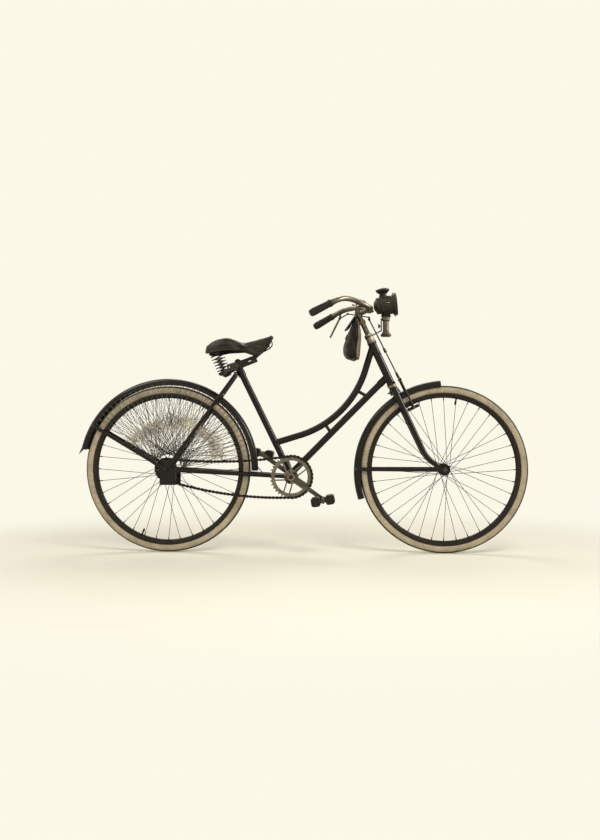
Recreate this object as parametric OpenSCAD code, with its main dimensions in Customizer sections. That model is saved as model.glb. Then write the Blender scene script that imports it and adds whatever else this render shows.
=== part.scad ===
// Step-through loop-frame roadster bicycle, one module for each sub-part.
// Millimetres. X points forward, Y to the rider's left, Z up.
// It is drawn from the rear axle and then moved so that the seat point is the origin.

/* [Wheels] */
// Outer diameter of both tyres
tyre_d = 711; // [695:1:720]
// Width of the tyre section
tyre_w = 37; // [33:0.5:38]
// Distance between the two axles
wheelbase = 1178; // [1160:1:1210]
// Radial height of tyre that stands above the rim edge
tyre_rise = 31.5; // [28:0.5:33]
// Width of the rim
rim_w = 33; // [28:0.5:35]
// Radial depth of the rim
rim_depth = 20; // [17:0.5:22]
// Spoke diameter
spoke_d = 2.2; // [1.8:0.1:2.4]
// Spokes in each wheel
spokes = 36; // [32:4:40]
// Front hub flange diameter
front_flange_d = 50; // [46:1:54]
// Rear hub flange diameter
rear_flange_d = 62; // [60:1:66]
// Front axle diameter
front_axle_d = 8; // [7:0.5:9]
// Rear axle diameter
rear_axle_d = 9.5; // [8.5:0.5:10]

/* [Frame] */
// Crank axle ahead of the rear axle
bb_reach = 532; // [520:1:545]
// Crank axle below the rear axle
bb_drop = 31; // [20:1:40]
// Seat tube angle from the horizontal
seat_angle = 63.9; // [62:0.1:66]
// Seat tube length from the crank axle
seat_len = 511; // [490:1:540]
// Steering axis angle from the horizontal
head_angle = 64.9; // [63:0.1:67]
// Head tube length
head_len = 198; // [180:1:215]
// Head tube diameter
head_d = 34; // [33:0.5:38]
// Steering axis foot to the lower end of the head tube
fork_len = 419; // [415:1:430]
// Front axle ahead of the steering axis
fork_rake = 47; // [42:1:55]
// Diameter of the main tubes
tube_d = 28; // [26:0.5:30]
// Loop tube joint above the crank axle, along the seat tube
loop_join = 160; // [140:1:190]
// Slope of the loop tube where it leaves the seat tube
loop_low_slope = 17; // [12:1:22]
// Slope of the loop tube where it meets the head tube
loop_high_slope = 73; // [68:1:75]
// Share of the shorter straight leg that the bend of the loop tube takes up
loop_bend_share = 0.67; // [0.5:0.01:0.8]
// Down tube axis above the crank axle
down_lift = 15; // [5:1:18]
// Seat stay diameter
seat_stay_d = 15; // [13:0.5:16]
// Chain stay diameter
chain_stay_d = 19; // [17:0.5:20]

/* [Saddle and bars] */
// Seat point behind the top of the seat tube
saddle_back = 52; // [45:1:60]
// Seat point above the top of the seat tube
saddle_rise = 130; // [126:1:140]
// Stem reach ahead of the steering axis
stem_reach = 52; // [46:1:58]
// Handlebar clamp up the steering axis
stem_high = 751; // [745:1:770]
// Handlebar tube diameter
bar_d = 22; // [20:0.5:23]
// Grip diameter
grip_d = 31; // [28:0.5:34]

/* [Drive] */
// Crank length
crank_len = 165; // [155:1:170]
// Crank angle below the forward horizontal
crank_angle = 34.5; // [0:0.1:90]
// Chainring teeth
ring_teeth = 35; // [32:1:36]
// Sprocket teeth
sprocket_teeth = 18; // [16:1:18]
// Chain pitch
pitch = 15.875; // [15.5:0.025:16]
// Sag of the upper chain run
chain_top_sag = 18; // [4:1:20]
// Sag of the lower chain run
chain_sag = 22; // [8:1:28]

/* [Guards] */
// Outer radius of the mudguards
guard_r = 388; // [386:1:392]
// Half width of the mudguards
guard_half = 24; // [22.5:0.5:25]
// Radial depth of the mudguard sides
guard_deep = 26; // [20:0.5:26]
// Strings of each lay in one dress guard
net_strings = 30; // [20:1:36]

/* [Hidden] */
$fn = 48;
// Gap between brazed or seated faces
fit = 0.15;
// Radial running clearance at pins and axles
run = 0.05;
tyre_r = tyre_d / 2;
rim_r = tyre_r - tyre_rise;
rim_in = rim_r - rim_depth;
tube_r = tube_d / 2;
head_r = head_d / 2;
front_axle_at = [wheelbase, 0, 0];
bb = [bb_reach, 0, -bb_drop];
seat_dir = [-cos(seat_angle), 0, sin(seat_angle)];
seat_top = bb + seat_len * seat_dir;
seat_point = seat_top + [-saddle_back, 0, saddle_rise];
steer_dir = [-cos(head_angle), 0, sin(head_angle)];
steer_fwd = [sin(head_angle), 0, cos(head_angle)];
fork_foot = front_axle_at - fork_rake * steer_fwd;
head_top = fork_len + head_len;
// Point in the steering frame: ahead of the axis, to the left, up the axis
function st(x, y, z) = fork_foot + x * steer_fwd + [0, y, 0] + z * steer_dir;
clamp_at = st(stem_reach, 0, stem_high);
// Parameter on the line p + t d where it crosses the line q + s e, in the XZ plane
function hit(p, d, q, e) =
  ((q[0] - p[0]) * e[2] - (q[2] - p[2]) * e[0]) / (d[0] * e[2] - d[2] * e[0]);
function dir(a) = [cos(a), 0, sin(a)];
// Loop tube: two straight legs joined by one bend
loop_s = bb + loop_join * seat_dir;
loop_h = st(0, 0, head_top - 11);
loop_a = hit(loop_s, dir(loop_low_slope), loop_h, dir(loop_high_slope));
loop_corner = loop_s + loop_a * dir(loop_low_slope);
loop_tan = loop_bend_share * min(loop_a, norm(loop_h - loop_corner));
loop_bend_r = loop_tan / tan((loop_high_slope - loop_low_slope) / 2);
loop_c = loop_corner - loop_tan * dir(loop_low_slope) + loop_bend_r * dir(loop_low_slope + 90);
// Down tube
down_low = bb + [0, 0, down_lift];
down_high = st(0, 0, fork_len + 40);
down_dir = (down_high - down_low) / norm(down_high - down_low);
// Rear triangle
rear_half = 57;
end_t = 5;
stay_y = rear_half + end_t / 2;
stay_eye = bb + (seat_len - 16) * seat_dir + [-20, 0, -7];
stay_eye_y = 26;
stay_bridge = stay_eye * ((guard_r + 10) / norm(stay_eye));
// Stays start clear of the chain and the hub
stay_low = stay_eye * (64 / norm(stay_eye)) + [0, stay_y, 0];
chain_stay_low = [50, stay_y, -50 * bb_drop / bb_reach];
// Drive
chain_y = -47;
ring_r = pitch / (2 * sin(180 / ring_teeth));
sprocket_r = pitch / (2 * sin(180 / sprocket_teeth));
tooth = 3.2;
crank_in = 48.7;
crank_out = 66;
pedal_tip = 166;
// Steerer bore in the head tube and how far its cutter runs past
steer_bore = 14;
steer_over = 38;
bore_over = 60;
// Angle of the brake on the front wheel, and its reach from the axle
brake_deg = 116;
stirrup_r = guard_r + 37;
rod_end_r = stirrup_r + 7;
// Brake shoe inner face
shoe_in = 13.4;
// Front guard circle drops away from the fork crown
front_guard_off = 12;
guard_at_crown = guard_r - front_guard_off;
crown_low = sqrt(pow(guard_at_crown + 1, 2) - pow(fork_rake - 24, 2));
// Fork blade bend
blade_turn = 33;
blade_bend_r = 150;
blade_tip_len = (fork_rake - blade_bend_r * (1 - cos(blade_turn))) / sin(blade_turn);
blade_bend_z = blade_bend_r * sin(blade_turn) + blade_tip_len * cos(blade_turn);
fork_half = 48;
enamel = [0.09, 0.08, 0.07];
nickel = [0.68, 0.64, 0.56];
steel = [0.5, 0.47, 0.42];
tan_rubber = [0.62, 0.55, 0.43];
black_rubber = [0.07, 0.065, 0.06];
hide = [0.2, 0.12, 0.07];
cord = [0.42, 0.38, 0.32];

// Moves a sub-part from the rear axle to the seat point
module placed() {
  translate(-seat_point)
    children();
}

// Steering frame: Z up the steering axis, X ahead of it
module steer() {
  translate(fork_foot)
    rotate([0, head_angle - 90, 0])
      children();
}

// Both sides of the bicycle
module both() {
  children();
  mirror([0, 1, 0])
    children();
}

// Round bar from a to b
module rod(a, b, r) {
  v = b - a;
  translate(a)
    rotate([0, acos(v[2] / norm(v)), atan2(v[1], v[0])])
      cylinder(h = norm(v), r = r);
}

// Tapered round bar from a to b
module taper(a, b, ra, rb) {
  v = b - a;
  translate(a)
    rotate([0, acos(v[2] / norm(v)), atan2(v[1], v[0])])
      cylinder(h = norm(v), r1 = ra, r2 = rb);
}

// Flat bar from a to b, w tall and t thick
module flat(a, b, w, t) {
  v = b - a;
  translate(a)
    rotate([0, -asin(v[2] / norm(v)), atan2(v[1], v[0])])
      translate([0, -t / 2, -w / 2])
        cube([norm(v), t, w]);
}

// Cylinder along Y at point c between two Y values
module across(c, y0, y1, r) {
  translate([c[0], y0, c[2]])
    rotate([-90, 0, 0])
      cylinder(h = y1 - y0, r = r);
}

// Plate in the XZ plane between two Y values
module plate(y0, y1) {
  translate([0, y1, 0])
    rotate([90, 0, 0])
      linear_extrude(height = y1 - y0)
        children();
}

// Solid of revolution about the Y axis, its profile drawn as radius and Y
module spun() {
  rotate([-90, 0, 0])
    rotate_extrude()
      children();
}

// Straight bar in the plane from p to q
module bar2d(p, q, w) {
  n = [p[1] - q[1], q[0] - p[0]] / norm(q - p) * w / 2;
  polygon([p + n, q + n, q - n, p - n]);
}

// Toothed disc outline
module teeth2d(n, rp) {
  step = 360 / n;
  tip = rp + 2.6;
  root = rp - 4.2;
  polygon([
    for (i = [0:n - 1])
      for (k = [[-0.3, root], [-0.11, tip], [0.11, tip], [0.3, root]])
        k[1] * [cos((i + k[0]) * step), sin((i + k[0]) * step)]
  ]);
}

module head_bar(grow) {
  steer()
    translate([0, 0, fork_len - 5])
      cylinder(h = head_len + 10, r = head_r + grow);
}

module seat_bar(grow) {
  rod(bb, seat_top + 20 * seat_dir, tube_r + grow);
}

module down_bar(grow) {
  rod(down_low, down_high, tube_r + grow);
}

module loop_bar(grow) {
  rod(loop_s, loop_corner - (loop_tan - 1) * dir(loop_low_slope), tube_r + grow - 0.05);
  translate(loop_c)
    rotate([90, 0, 0])
      rotate_extrude(
        angle = loop_high_slope - loop_low_slope,
        start = loop_low_slope - 90,
        $fn = 240
      )
        translate([loop_bend_r, 0])
          circle(r = tube_r + grow, $fn = 48);
  rod(loop_corner + (loop_tan - 1) * dir(loop_high_slope), loop_h, tube_r + grow - 0.05);
}

module bb_bar(grow) {
  across(bb, -34, 34, 21 + grow);
}

module head_tube() {
  color(enamel)
    difference() {
      union() {
        steer() {
          translate([0, 0, fork_len])
            cylinder(h = head_len, r = head_r);
          translate([0, 0, fork_len])
            cylinder(h = 9, r = head_r + 2.2);
          translate([0, 0, head_top - 9])
            cylinder(h = 9, r = head_r + 2.2);
        }
        rod(down_high, down_high - (head_r + 34) * down_dir, tube_r + 1.8);
      }
      rod(down_high - (head_r + 34 + 1) * down_dir, down_high - 2 * down_dir, tube_r + fit);
      steer()
        translate([0, 0, fork_len - bore_over])
          cylinder(h = head_len + 2 * bore_over, r = steer_bore);
    }
}

module loop_tube() {
  color(enamel)
    difference() {
      loop_bar(0);
      head_bar(fit);
      seat_bar(fit);
      steer()
        translate([0, 0, head_top - 9.2])
          cylinder(h = 60, r = 60);
    }
}

module down_tube() {
  color(enamel)
    difference() {
      down_bar(0);
      head_bar(fit);
      bb_bar(fit);
      seat_bar(fit);
    }
}

module tube_struts() {
  color(enamel)
    for (a = [33, 60]) {
      u = dir(a - 90);
      far = hit(loop_c, u, down_low, down_dir);
      difference() {
        rod(loop_c + loop_bend_r * u, loop_c + far * u, 7);
        loop_bar(fit);
        down_bar(fit);
      }
    }
}

module seat_tube() {
  color(enamel)
    difference() {
      union() {
        rod(bb, seat_top, tube_r);
        rod(seat_top - 34 * seat_dir, seat_top, tube_r + 2.6);
        across(stay_eye, -18, 18, 9);
        rod(stay_eye, seat_top - 16 * seat_dir, 9);
      }
      rod(seat_top - 110 * seat_dir, seat_top + 10 * seat_dir, 12.7 + run);
      bb_bar(fit);
    }
}

module bottom_bracket() {
  color(enamel)
    difference() {
      translate(bb)
        spun()
          polygon([
            [8 + run, -36], [20, -36], [20, -34], [21, -34], [21, 34], [20, 34], [20, 36],
            [8 + run, 36], [8 + run, 27], [15, 27], [15, -27], [8 + run, -27]
          ]);
    }
}

module chain_stays() {
  color(enamel) {
    both()
      difference() {
        rod(chain_stay_low, bb + [0, 20, 0], chain_stay_d / 2);
        bb_bar(fit);
        seat_bar(fit);
        down_bar(fit);
        across([0, 0, 0], rear_half - 0.1, rear_half + end_t + 0.1, 110);
        translate([-1, -30, -200])
          cube([800, 30.1, 300]);
      }
    difference() {
      across([bb_reach * 0.78, 0, -bb_drop * 0.78], -26, 26, 6);
      both()
        rod(chain_stay_low, bb + [0, 20, 0], chain_stay_d / 2 + fit);
    }
  }
}

module seat_stays() {
  high = stay_eye + [0, stay_eye_y, 0];
  color(enamel) {
    both()
      difference() {
        union() {
          rod(stay_low, high, seat_stay_d / 2);
          across(stay_eye, 18.2, stay_eye_y + seat_stay_d / 2 + 1, 9);
        }
        across([0, 0, 0], rear_half - 0.1, rear_half + end_t + 0.1, 110);
      }
    difference() {
      across(stay_bridge, -34, 34, 6);
      both()
        rod(stay_low, high, seat_stay_d / 2 + fit);
    }
  }
}

module rear_fork_ends() {
  color(enamel)
    both()
      plate(rear_half, rear_half + end_t)
        difference() {
          union() {
            circle(r = 24);
            translate([-27, -66])
              square([70, 60]);
            bar2d([0, 0], [96, -96 * bb_drop / bb_reach], 15);
            bar2d([0, 0], 104 * [stay_eye[0], stay_eye[2]] / norm(stay_eye), 13);
          }
          circle(r = rear_axle_d / 2 + fit);
        }
}

module rear_axle() {
  r = rear_axle_d / 2;
  color(steel) {
    across([0, 0, 0], -84, 84, r);
    both() {
      across([0, 0, 0], 52.3, rear_half - 0.2, 9);
      across([0, 0, 0], 65.2, 67, 11);
      translate([0, 67, 0])
        rotate([-90, 0, 0])
          cylinder(h = 8, r = 9.5, $fn = 6);
    }
  }
}

module head_cups() {
  color(nickel)
    steer() {
      translate([0, 0, fork_len - 11])
        difference() {
          cylinder(h = 10.9, r1 = 17.5, r2 = 20.5);
          translate([0, 0, -1])
            cylinder(h = 13, r = 12.7 + run);
        }
      translate([0, 0, head_top + 0.1])
        difference() {
          cylinder(h = 10.9, r1 = 20.5, r2 = 17.5);
          translate([0, 0, -1])
            cylinder(h = 13, r = 12.7 + run);
        }
    }
}

// Arched mudguard section with a beaded edge, drawn as radius and Y
module guard2d() {
  half = guard_half;
  deep = guard_deep;
  ra = (half * half + deep * deep) / (2 * deep);
  difference() {
    translate([guard_r - ra, 0])
      circle(r = ra);
    translate([guard_r - ra, 0])
      circle(r = ra - 1.6);
    translate([guard_r - deep - 60, -60])
      square([60, 120]);
  }
  for (s = [-1, 1])
    translate([guard_r - deep, s * (half - 0.8)])
      circle(r = 1.9);
}

module rear_mudguard() {
  color(enamel) {
    rotate([90, 0, 0])
      rotate_extrude(angle = 168, start = -1)
        guard2d();
    plate(-7, 7)
      polygon([
        for (p = [[-1.2, 166], [-13, 166.4], [6, 170.6]])
          (guard_r + p[0]) * [cos(p[1]), sin(p[1])]
      ]);
    rod(guard_r * stay_bridge / norm(stay_bridge) * 0.998, stay_bridge * 0.9842, 4);
    flat([guard_r - 3, 0, 9], [bb_reach * 0.78 - 7, 0, -bb_drop * 0.78 + 8], 2.5, 16);
  }
}

module rear_mudguard_stays() {
  color(enamel)
    both() {
      difference() {
        union() {
          across([0, 0, 0], rear_half + end_t + 0.2, 64.9, 12);
          flat([0, 63.55, 0], 36 * dir(150) + [0, 63.55, 0], 15, 2.4);
          flat(35 * dir(150) + [0, 63.5, 0], (guard_r - 18) * dir(150) + [0, guard_half + 3.2, 0], 14.8, 2.3);
        }
        across([0, 0, 0], 50, 70, rear_axle_d / 2 + fit);
      }
      across((guard_r - 18) * dir(150), guard_half + 0.25, guard_half + 5, 4);
    }
}

// One dress guard on the left: a hooked hoop and two crossing lays of string
module net() {
  hoop_r = 64;
  hoop_y = 40.5;
  color(cord) {
    rotate([90, 0, 0])
      rotate_extrude(angle = 146, start = 8)
        translate([hoop_r, -hoop_y])
          circle(r = 1.5);
    for (b = [[54, stay_y - seat_stay_d / 2 - 0.5], [150, 58.8]])
      rod(hoop_r * dir(b[0]) + [0, hoop_y - 1, 0], hoop_r * dir(b[0]) + [0, b[1], 0], 2);
    for (i = [0:net_strings - 1])
      for (lay = [-1, 1]) {
        a = 8 + 138 * i / (net_strings - 1);
        b = min(146, max(10, a + lay * 11));
        y = lay * 1;
        rod(
          (hoop_r + 2.3) * dir(b) + [0, hoop_y - 1.2 + y, 0],
          (guard_r - guard_deep + 2) * dir(a) + [0, guard_half + 3.1 + y, 0],
          0.7
        );
      }
  }
}

module dress_guard_left() {
  net();
}

module dress_guard_right() {
  mirror([0, 1, 0])
    net();
}

module seat_post() {
  color(steel) {
    rod(seat_top - 100 * seat_dir, seat_top + 26 * seat_dir, 12.7);
    across(seat_top + 26 * seat_dir + [6, 0, 6], -18.6, 18.6, 14);
  }
}

// Underframe points on the left: spring foot, plate end, seat pin, plate nose, cover nose
rail = [
  seat_point + [-10, 70, -147],
  seat_point + [7, 55, -128],
  seat_point + [42, 25.5, -115],
  seat_point + [124, 16, -84],
  seat_point + [176, 12, -30]
];
spring_top = seat_point + [-50, 70, -60];
spring_dir = (spring_top - rail[0]) / norm(spring_top - rail[0]);
plate_t = 4;
cantle_r = 5;
spring_wire = 2.4;

module saddle_frame() {
  hole = rail[1] * 0.7 + rail[2] * 0.3;
  slot = rail[2] * 0.35 + rail[3] * 0.65;
  way = (rail[3] - rail[2]) / norm(rail[3] - rail[2]);
  color(steel) {
    both()
      difference() {
        union() {
          rod(rail[0] - 10 * spring_dir, rail[0] + 5 * spring_dir, 16.5);
          rod(rail[0] - 4 * spring_dir, rail[0] + 2.6 * spring_dir, 21);
          rod(rail[0], rail[2], 4.2);
          flat(rail[1], rail[2], 31, plate_t);
          flat(rail[2] - 2 * way, rail[3], 28, plate_t - 0.4);
          rod(rail[3] - 14 * way, rail[4], 4.2);
          across(rail[2], 19, 27.2, 15);
        }
        across(hole, 0, 90, 5);
        flat(slot - 7 * way, slot + 7 * way, 7, 40);
      }
    across(rail[4], -14, 14, 5.6);
    rod([rail[4][0], 0, rail[4][2]], [rail[4][0], 0, seat_point[2] + 2.5], 3.5);
    across(spring_top, -94.6, 94.6, cantle_r);
  }
}

// Swept tube along a list of points, n sides
module sweep(path, r, n) {
  m = len(path);
  tang = [
    for (i = [0:m - 1])
      let (d = path[min(i + 1, m - 1)] - path[max(i - 1, 0)]) d / norm(d)
  ];
  pts = [
    for (i = [0:m - 1])
      let (
        side = cross(tang[i], [0.02, 0.01, 1]),
        u = side / norm(side),
        v = cross(tang[i], u)
      )
      for (k = [0:n - 1])
        path[i] + r * (cos(360 * k / n) * u + sin(360 * k / n) * v)
  ];
  sides = [
    for (i = [0:m - 2])
      for (k = [0:n - 1])
        let (a = i * n + k, b = i * n + (k + 1) % n)
          for (f = [[a, a + n, b + n], [a, b + n, b]])
            f
  ];
  caps = [
    [for (k = [0:n - 1]) k],
    [for (k = [n - 1:-1:0]) (m - 1) * n + k]
  ];
  polyhedron(pts, concat(sides, caps), convexity = 8);
}

module saddle_springs() {
  low = rail[0] + 5.4 * spring_dir;
  axis = spring_top - (cantle_r + spring_wire + 0.3) * spring_dir - low;
  fore = [spring_dir[2], 0, -spring_dir[0]];
  turns = 6.25;
  per = 12;
  color(steel)
    both()
      sweep(
        [
          for (i = [0:turns * per])
            low + axis * i / (turns * per)
              + 20.5 * cos(360 * i / per) * fore + [0, 20.5 * sin(360 * i / per), 0]
        ],
        spring_wire,
        8
      );
}

// Leather cover stations: along X, half width, top and edge heights from the seat point
saddle_rows = [
  [-88, 58, -46, -60],
  [-78, 84, -27, -66],
  [-50, 104, -9, -66],
  [-10, 105, 0, -62],
  [22, 92, -3, -58],
  [56, 64, -15, -56],
  [90, 44, -12, -62],
  [122, 34, -5, -68],
  [152, 29, 2, -54],
  [180, 24, 10, -22],
  [192, 15, 13, -3]
];

// One station of the cover, outside and then inside
function saddle_ring(row, m, skin) = concat(
  [
    for (k = [0:m])
      let (t = -90 + 180 * k / m, s = sin(t), c = max(0, cos(t)))
        [row[0], row[1] * sign(s) * pow(abs(s), 0.85), row[3] + (row[2] - row[3]) * pow(c, 0.7)]
  ],
  [
    for (k = [m:-1:0])
      let (t = -90 + 180 * k / m, s = sin(t), c = max(0, cos(t)), w = row[1] - skin)
        [row[0], w * sign(s) * pow(abs(s), 0.85), row[3] + (row[2] - row[3] - skin) * pow(c, 0.7)]
  ]
);

module saddle() {
  m = 16;
  n = 2 * m + 2;
  rows = len(saddle_rows);
  pts = [for (row = saddle_rows) for (p = saddle_ring(row, m, 5)) p];
  sides = [
    for (i = [0:rows - 2])
      for (k = [0:n - 1])
        [i * n + k, (i + 1) * n + k, (i + 1) * n + (k + 1) % n, i * n + (k + 1) % n]
  ];
  caps = [
    for (k = [0:m - 1]) [k, k + 1, n - 2 - k, n - 1 - k],
    for (k = [0:m - 1]) let (b = (rows - 1) * n) [b + n - 1 - k, b + n - 2 - k, b + k + 1, b + k]
  ];
  color(hide)
    translate(seat_point)
      polyhedron(pts, concat(sides, caps), convexity = 6);
}

// Chain pitch line, as four runs of points in the XZ plane
chain_d = norm(bb);
chain_lean = atan2(bb[2], bb[0]);
chain_wrap = asin((ring_r - sprocket_r) / chain_d);
chain_top = 90 + chain_lean + chain_wrap;
chain_low = -90 + chain_lean - chain_wrap;
function on_ring(a) = [bb[0] + ring_r * cos(a), bb[2] + ring_r * sin(a)];
function on_sprocket(a) = sprocket_r * [cos(a), sin(a)];
function run_line(p, q, sag) =
  let (n = round(norm(q - p) / pitch))
    [for (i = [0:n]) let (t = i / n) p + (q - p) * t - [0, 4 * sag * t * (1 - t)]];
function run_arc(c, r, a0, a1) =
  let (n = round(abs(a1 - a0) * PI / 180 * r / pitch))
    [for (i = [0:n]) c + r * [cos(a0 + (a1 - a0) * i / n), sin(a0 + (a1 - a0) * i / n)]];
// Each run: its points, then the direction of travel at its start and at its end
top_dir = dir(chain_top - 90);
low_dir = dir(chain_low - 90);
chain_runs = [
  [run_line(on_sprocket(chain_top), on_ring(chain_top), chain_top_sag), top_dir, top_dir],
  [run_arc([bb[0], bb[2]], ring_r, chain_top, chain_low), top_dir, low_dir],
  [run_line(on_ring(chain_low), on_sprocket(chain_low), chain_sag), low_dir, low_dir],
  [run_arc([0, 0], sprocket_r, chain_low, chain_top - 360), low_dir, top_dir]
];

// Waisted side plates of one run, pin after pin
module plates2d(run) {
  path = run[0];
  m = len(path);
  function tang(i) =
    i == 0 ? [run[1][0], run[1][2]]
      : i == m - 1 ? [run[2][0], run[2][2]]
      : (path[i + 1] - path[i - 1]) / norm(path[i + 1] - path[i - 1]);
  function nor(i) = [-tang(i)[1], tang(i)[0]];
  function edge(s) = [
    for (i = [0:m - 1])
      for (k = i < m - 1 ? [0, 1] : [0])
        k == 0
          ? path[i] + s * 5.2 * nor(i) + (i == 0 ? 0.15 : i == m - 1 ? -0.15 : 0) * tang(i)
          : (path[i] + path[i + 1]) / 2 + s * 3.9 * (nor(i) + nor(i + 1)) / 2
  ];
  lower = edge(-1);
  polygon(concat(edge(1), [for (i = [len(lower) - 1:-1:0]) lower[i]]));
}

module chain() {
  color(steel)
    for (run = chain_runs) {
      for (s = [-1, 1])
        plate(chain_y + s * 3.3 - 1, chain_y + s * 3.3 + 1)
          plates2d(run);
      for (p = run[0])
        if (norm(p) > sprocket_r + 9 && norm(p - [bb[0], bb[2]]) > ring_r + 9)
          across([p[0], 0, p[1]], chain_y - 2.5, chain_y + 2.5, 3.8);
    }
}

module fork_crown() {
  color(enamel)
    steer() {
      translate([0, 0, crown_low])
        cylinder(h = head_top + steer_over - crown_low, r = 12.7);
      translate([0, 0, crown_low])
        cylinder(h = fork_len - 14 - crown_low, r1 = 24, r2 = 18);
      translate([0, 0, crown_low])
        cylinder(h = fork_len - 11.3 - crown_low, r = 17);
      translate([-14, -40, crown_low])
        cube([28, 80, 22]);
      for (s = [-1, 1])
        translate([0, s * 40, crown_low])
          cylinder(h = 22, r = 14);
    }
}

module fork_blades() {
  top = crown_low - 0.1;
  lean = atan((fork_half + 2.5 - 40) / crown_low);
  tip = [sin(blade_turn), 0, -cos(blade_turn)];
  bend = [blade_bend_r, 0, blade_bend_z];
  bend_end = bend + blade_bend_r * [-cos(blade_turn), 0, -sin(blade_turn)];
  color(enamel)
    steer()
      both()
        difference() {
          union() {
            translate([0, 40, crown_low])
              rotate([lean, 0, 0])
                translate([0, 0, -crown_low]) {
                  taper([0, 0, top], [0, 0, blade_bend_z - 1], 13, 10.95);
                  translate(bend)
                    rotate([90, 0, 0])
                      rotate_extrude(angle = blade_turn, start = 180)
                        translate([blade_bend_r, 0])
                          circle(r = 11);
                  taper(bend_end - tip, bend_end + (blade_tip_len - 30) * tip, 10.95, 8.5);
                }
            translate([fork_rake, 0, 0])
              plate(fork_half, fork_half + 5) {
                circle(r = 13);
                bar2d([0, 0], -62 * [sin(blade_turn), -cos(blade_turn)], 11);
              }
          }
          across([fork_rake, 0, 0], 30, 70, front_axle_d / 2 + fit);
          translate([-50, -50, top])
            cube([100, 120, 20]);
        }
}

module front_axle() {
  r = front_axle_d / 2;
  color(steel)
    translate(front_axle_at) {
      across([0, 0, 0], -72, 72, r);
      both() {
        across([0, 0, 0], 38.3, fork_half - 0.2, 8);
        across([0, 0, 0], 55.9, 57.5, 10);
        translate([0, 57.5, 0])
          rotate([-90, 0, 0])
            cylinder(h = 6.5, r = 8, $fn = 6);
      }
    }
}

module headset_nuts() {
  color(nickel)
    steer()
      translate([0, 0, head_top + 11.3])
        difference() {
          union() {
            cylinder(h = 14, r = 17);
            translate([0, 0, 20])
              cylinder(h = 9, r = 17, $fn = 8);
          }
          translate([0, 0, -1])
            cylinder(h = 40, r = 12.7 + fit);
          translate([-30, -30, 14])
            cube([60, 60, 6]);
        }
}

module stem() {
  color(nickel)
    difference() {
      union() {
        steer() {
          translate([0, 0, head_top + steer_over + fit])
            cylinder(h = stem_high - head_top - steer_over + 8, r = 11);
          translate([0, 0, stem_high - 16])
            cylinder(h = 30, r = 13);
          translate([0, 0, stem_high + 14])
            cylinder(h = 6, r = 8);
        }
        rod(st(0, 0, stem_high), clamp_at, 10);
        across(clamp_at, -20, 20, bar_d / 2 + 5);
      }
      across(clamp_at, -30, 30, bar_d / 2 + fit);
    }
}

// Handlebar centre line on the right, from the clamp: back, out, up
bar_rows = [
  [0, 24, 0], [5, 52, 4], [42, 90, 17], [76, 160, 22], [113, 215, 19], [153, 245, 2]
];
grip_back = [84, 25, -46];
bar_end = bar_rows[len(bar_rows) - 1];
grip_dir = grip_back / norm(grip_back);
function bar_at(r, s) = clamp_at + [-r[0], s * r[1], r[2]];
// Smooth point between rows i and i + 1
function bar_row(i) =
  i < 0 ? [0, 0, 0]
    : i >= len(bar_rows) ? bar_end + 40 * grip_dir
    : bar_rows[i];
function smooth(i, t) =
  let (a = bar_row(i - 1), b = bar_row(i), c = bar_row(i + 1), d = bar_row(i + 2))
    0.5 * (2 * b + t * (c - a) + t * t * (2 * a - 5 * b + 4 * c - d)
      + t * t * t * (3 * b - a - 3 * c + d));
bar_half = concat(
  [for (i = [0:len(bar_rows) - 2]) for (k = [0:4]) smooth(i, k / 5)],
  [bar_end, bar_end + 6 * grip_dir]
);

module handlebar() {
  n = len(bar_half);
  color(nickel)
    sweep(
      concat(
        [for (i = [n - 1:-1:0]) bar_at(bar_half[i], -1)],
        [for (i = [0:n - 1]) bar_at(bar_half[i], 1)]
      ),
      bar_d / 2,
      16
    );
}

module grips() {
  len_grip = norm(grip_back) + 2;
  color(black_rubber)
    for (s = [-1, 1]) {
      a = bar_at(bar_end + 6.3 * grip_dir, s);
      v = [-grip_dir[0], s * grip_dir[1], grip_dir[2]];
      translate(a)
        rotate([0, acos(v[2]), atan2(v[1], v[0])])
          rotate_extrude()
            polygon([
              [0, 0], [grip_d / 2 - 2, 0], [grip_d / 2, 3], [grip_d / 2, 12],
              [grip_d / 2 - 2.5, 18], [grip_d / 2 - 1.5, len_grip * 0.5],
              [grip_d / 2, len_grip - 12], [grip_d / 2 - 1, len_grip - 3],
              [grip_d / 2 - 5, len_grip], [0, len_grip]
            ]);
    }
}

bell_at = bar_at([30, 84, 13], 1);

module bell() {
  color(nickel)
    translate(bell_at + [-4, 0, bar_d / 2 + 3]) {
      rotate_extrude()
        polygon([
          [0, 1], [5, 1], [5, 5], [24, 5], [24, 8], [22.5, 14], [18, 19], [10, 22.5], [0, 24]
        ]);
    }
}

// Brake lever pivot, hung square from the bar
lever_at = bar_at(smooth(4, 0.4), 1);
lever_run = bar_at(smooth(4, 0.5), 1) - bar_at(smooth(4, 0.3), 1);
lever_way = lever_run / norm(lever_run);
lever_drop = [0, 0, -1] + lever_way[2] * lever_way;
lever_out = lever_drop / norm(lever_drop);

module brake_lever() {
  top = lever_at + [0, 0, -28];
  foot = lever_at + [-40, 8, -108];
  color(nickel) {
    rod(top, foot, 4.5);
    translate(foot)
      sphere(r = 5.6);
    across(top, top[1] - 8, top[1] + 8, 6);
    rod(lever_at + (bar_d / 2 + 0.3) * lever_out, lever_at + (bar_d / 2 + 8) * lever_out, 5);
    rod(lever_at + (bar_d / 2 + 5) * lever_out, top, 4.8);
  }
}

brake_top = clamp_at + [-2, -16, -45];
brake_foot = front_axle_at + rod_end_r * dir(brake_deg);

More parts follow.
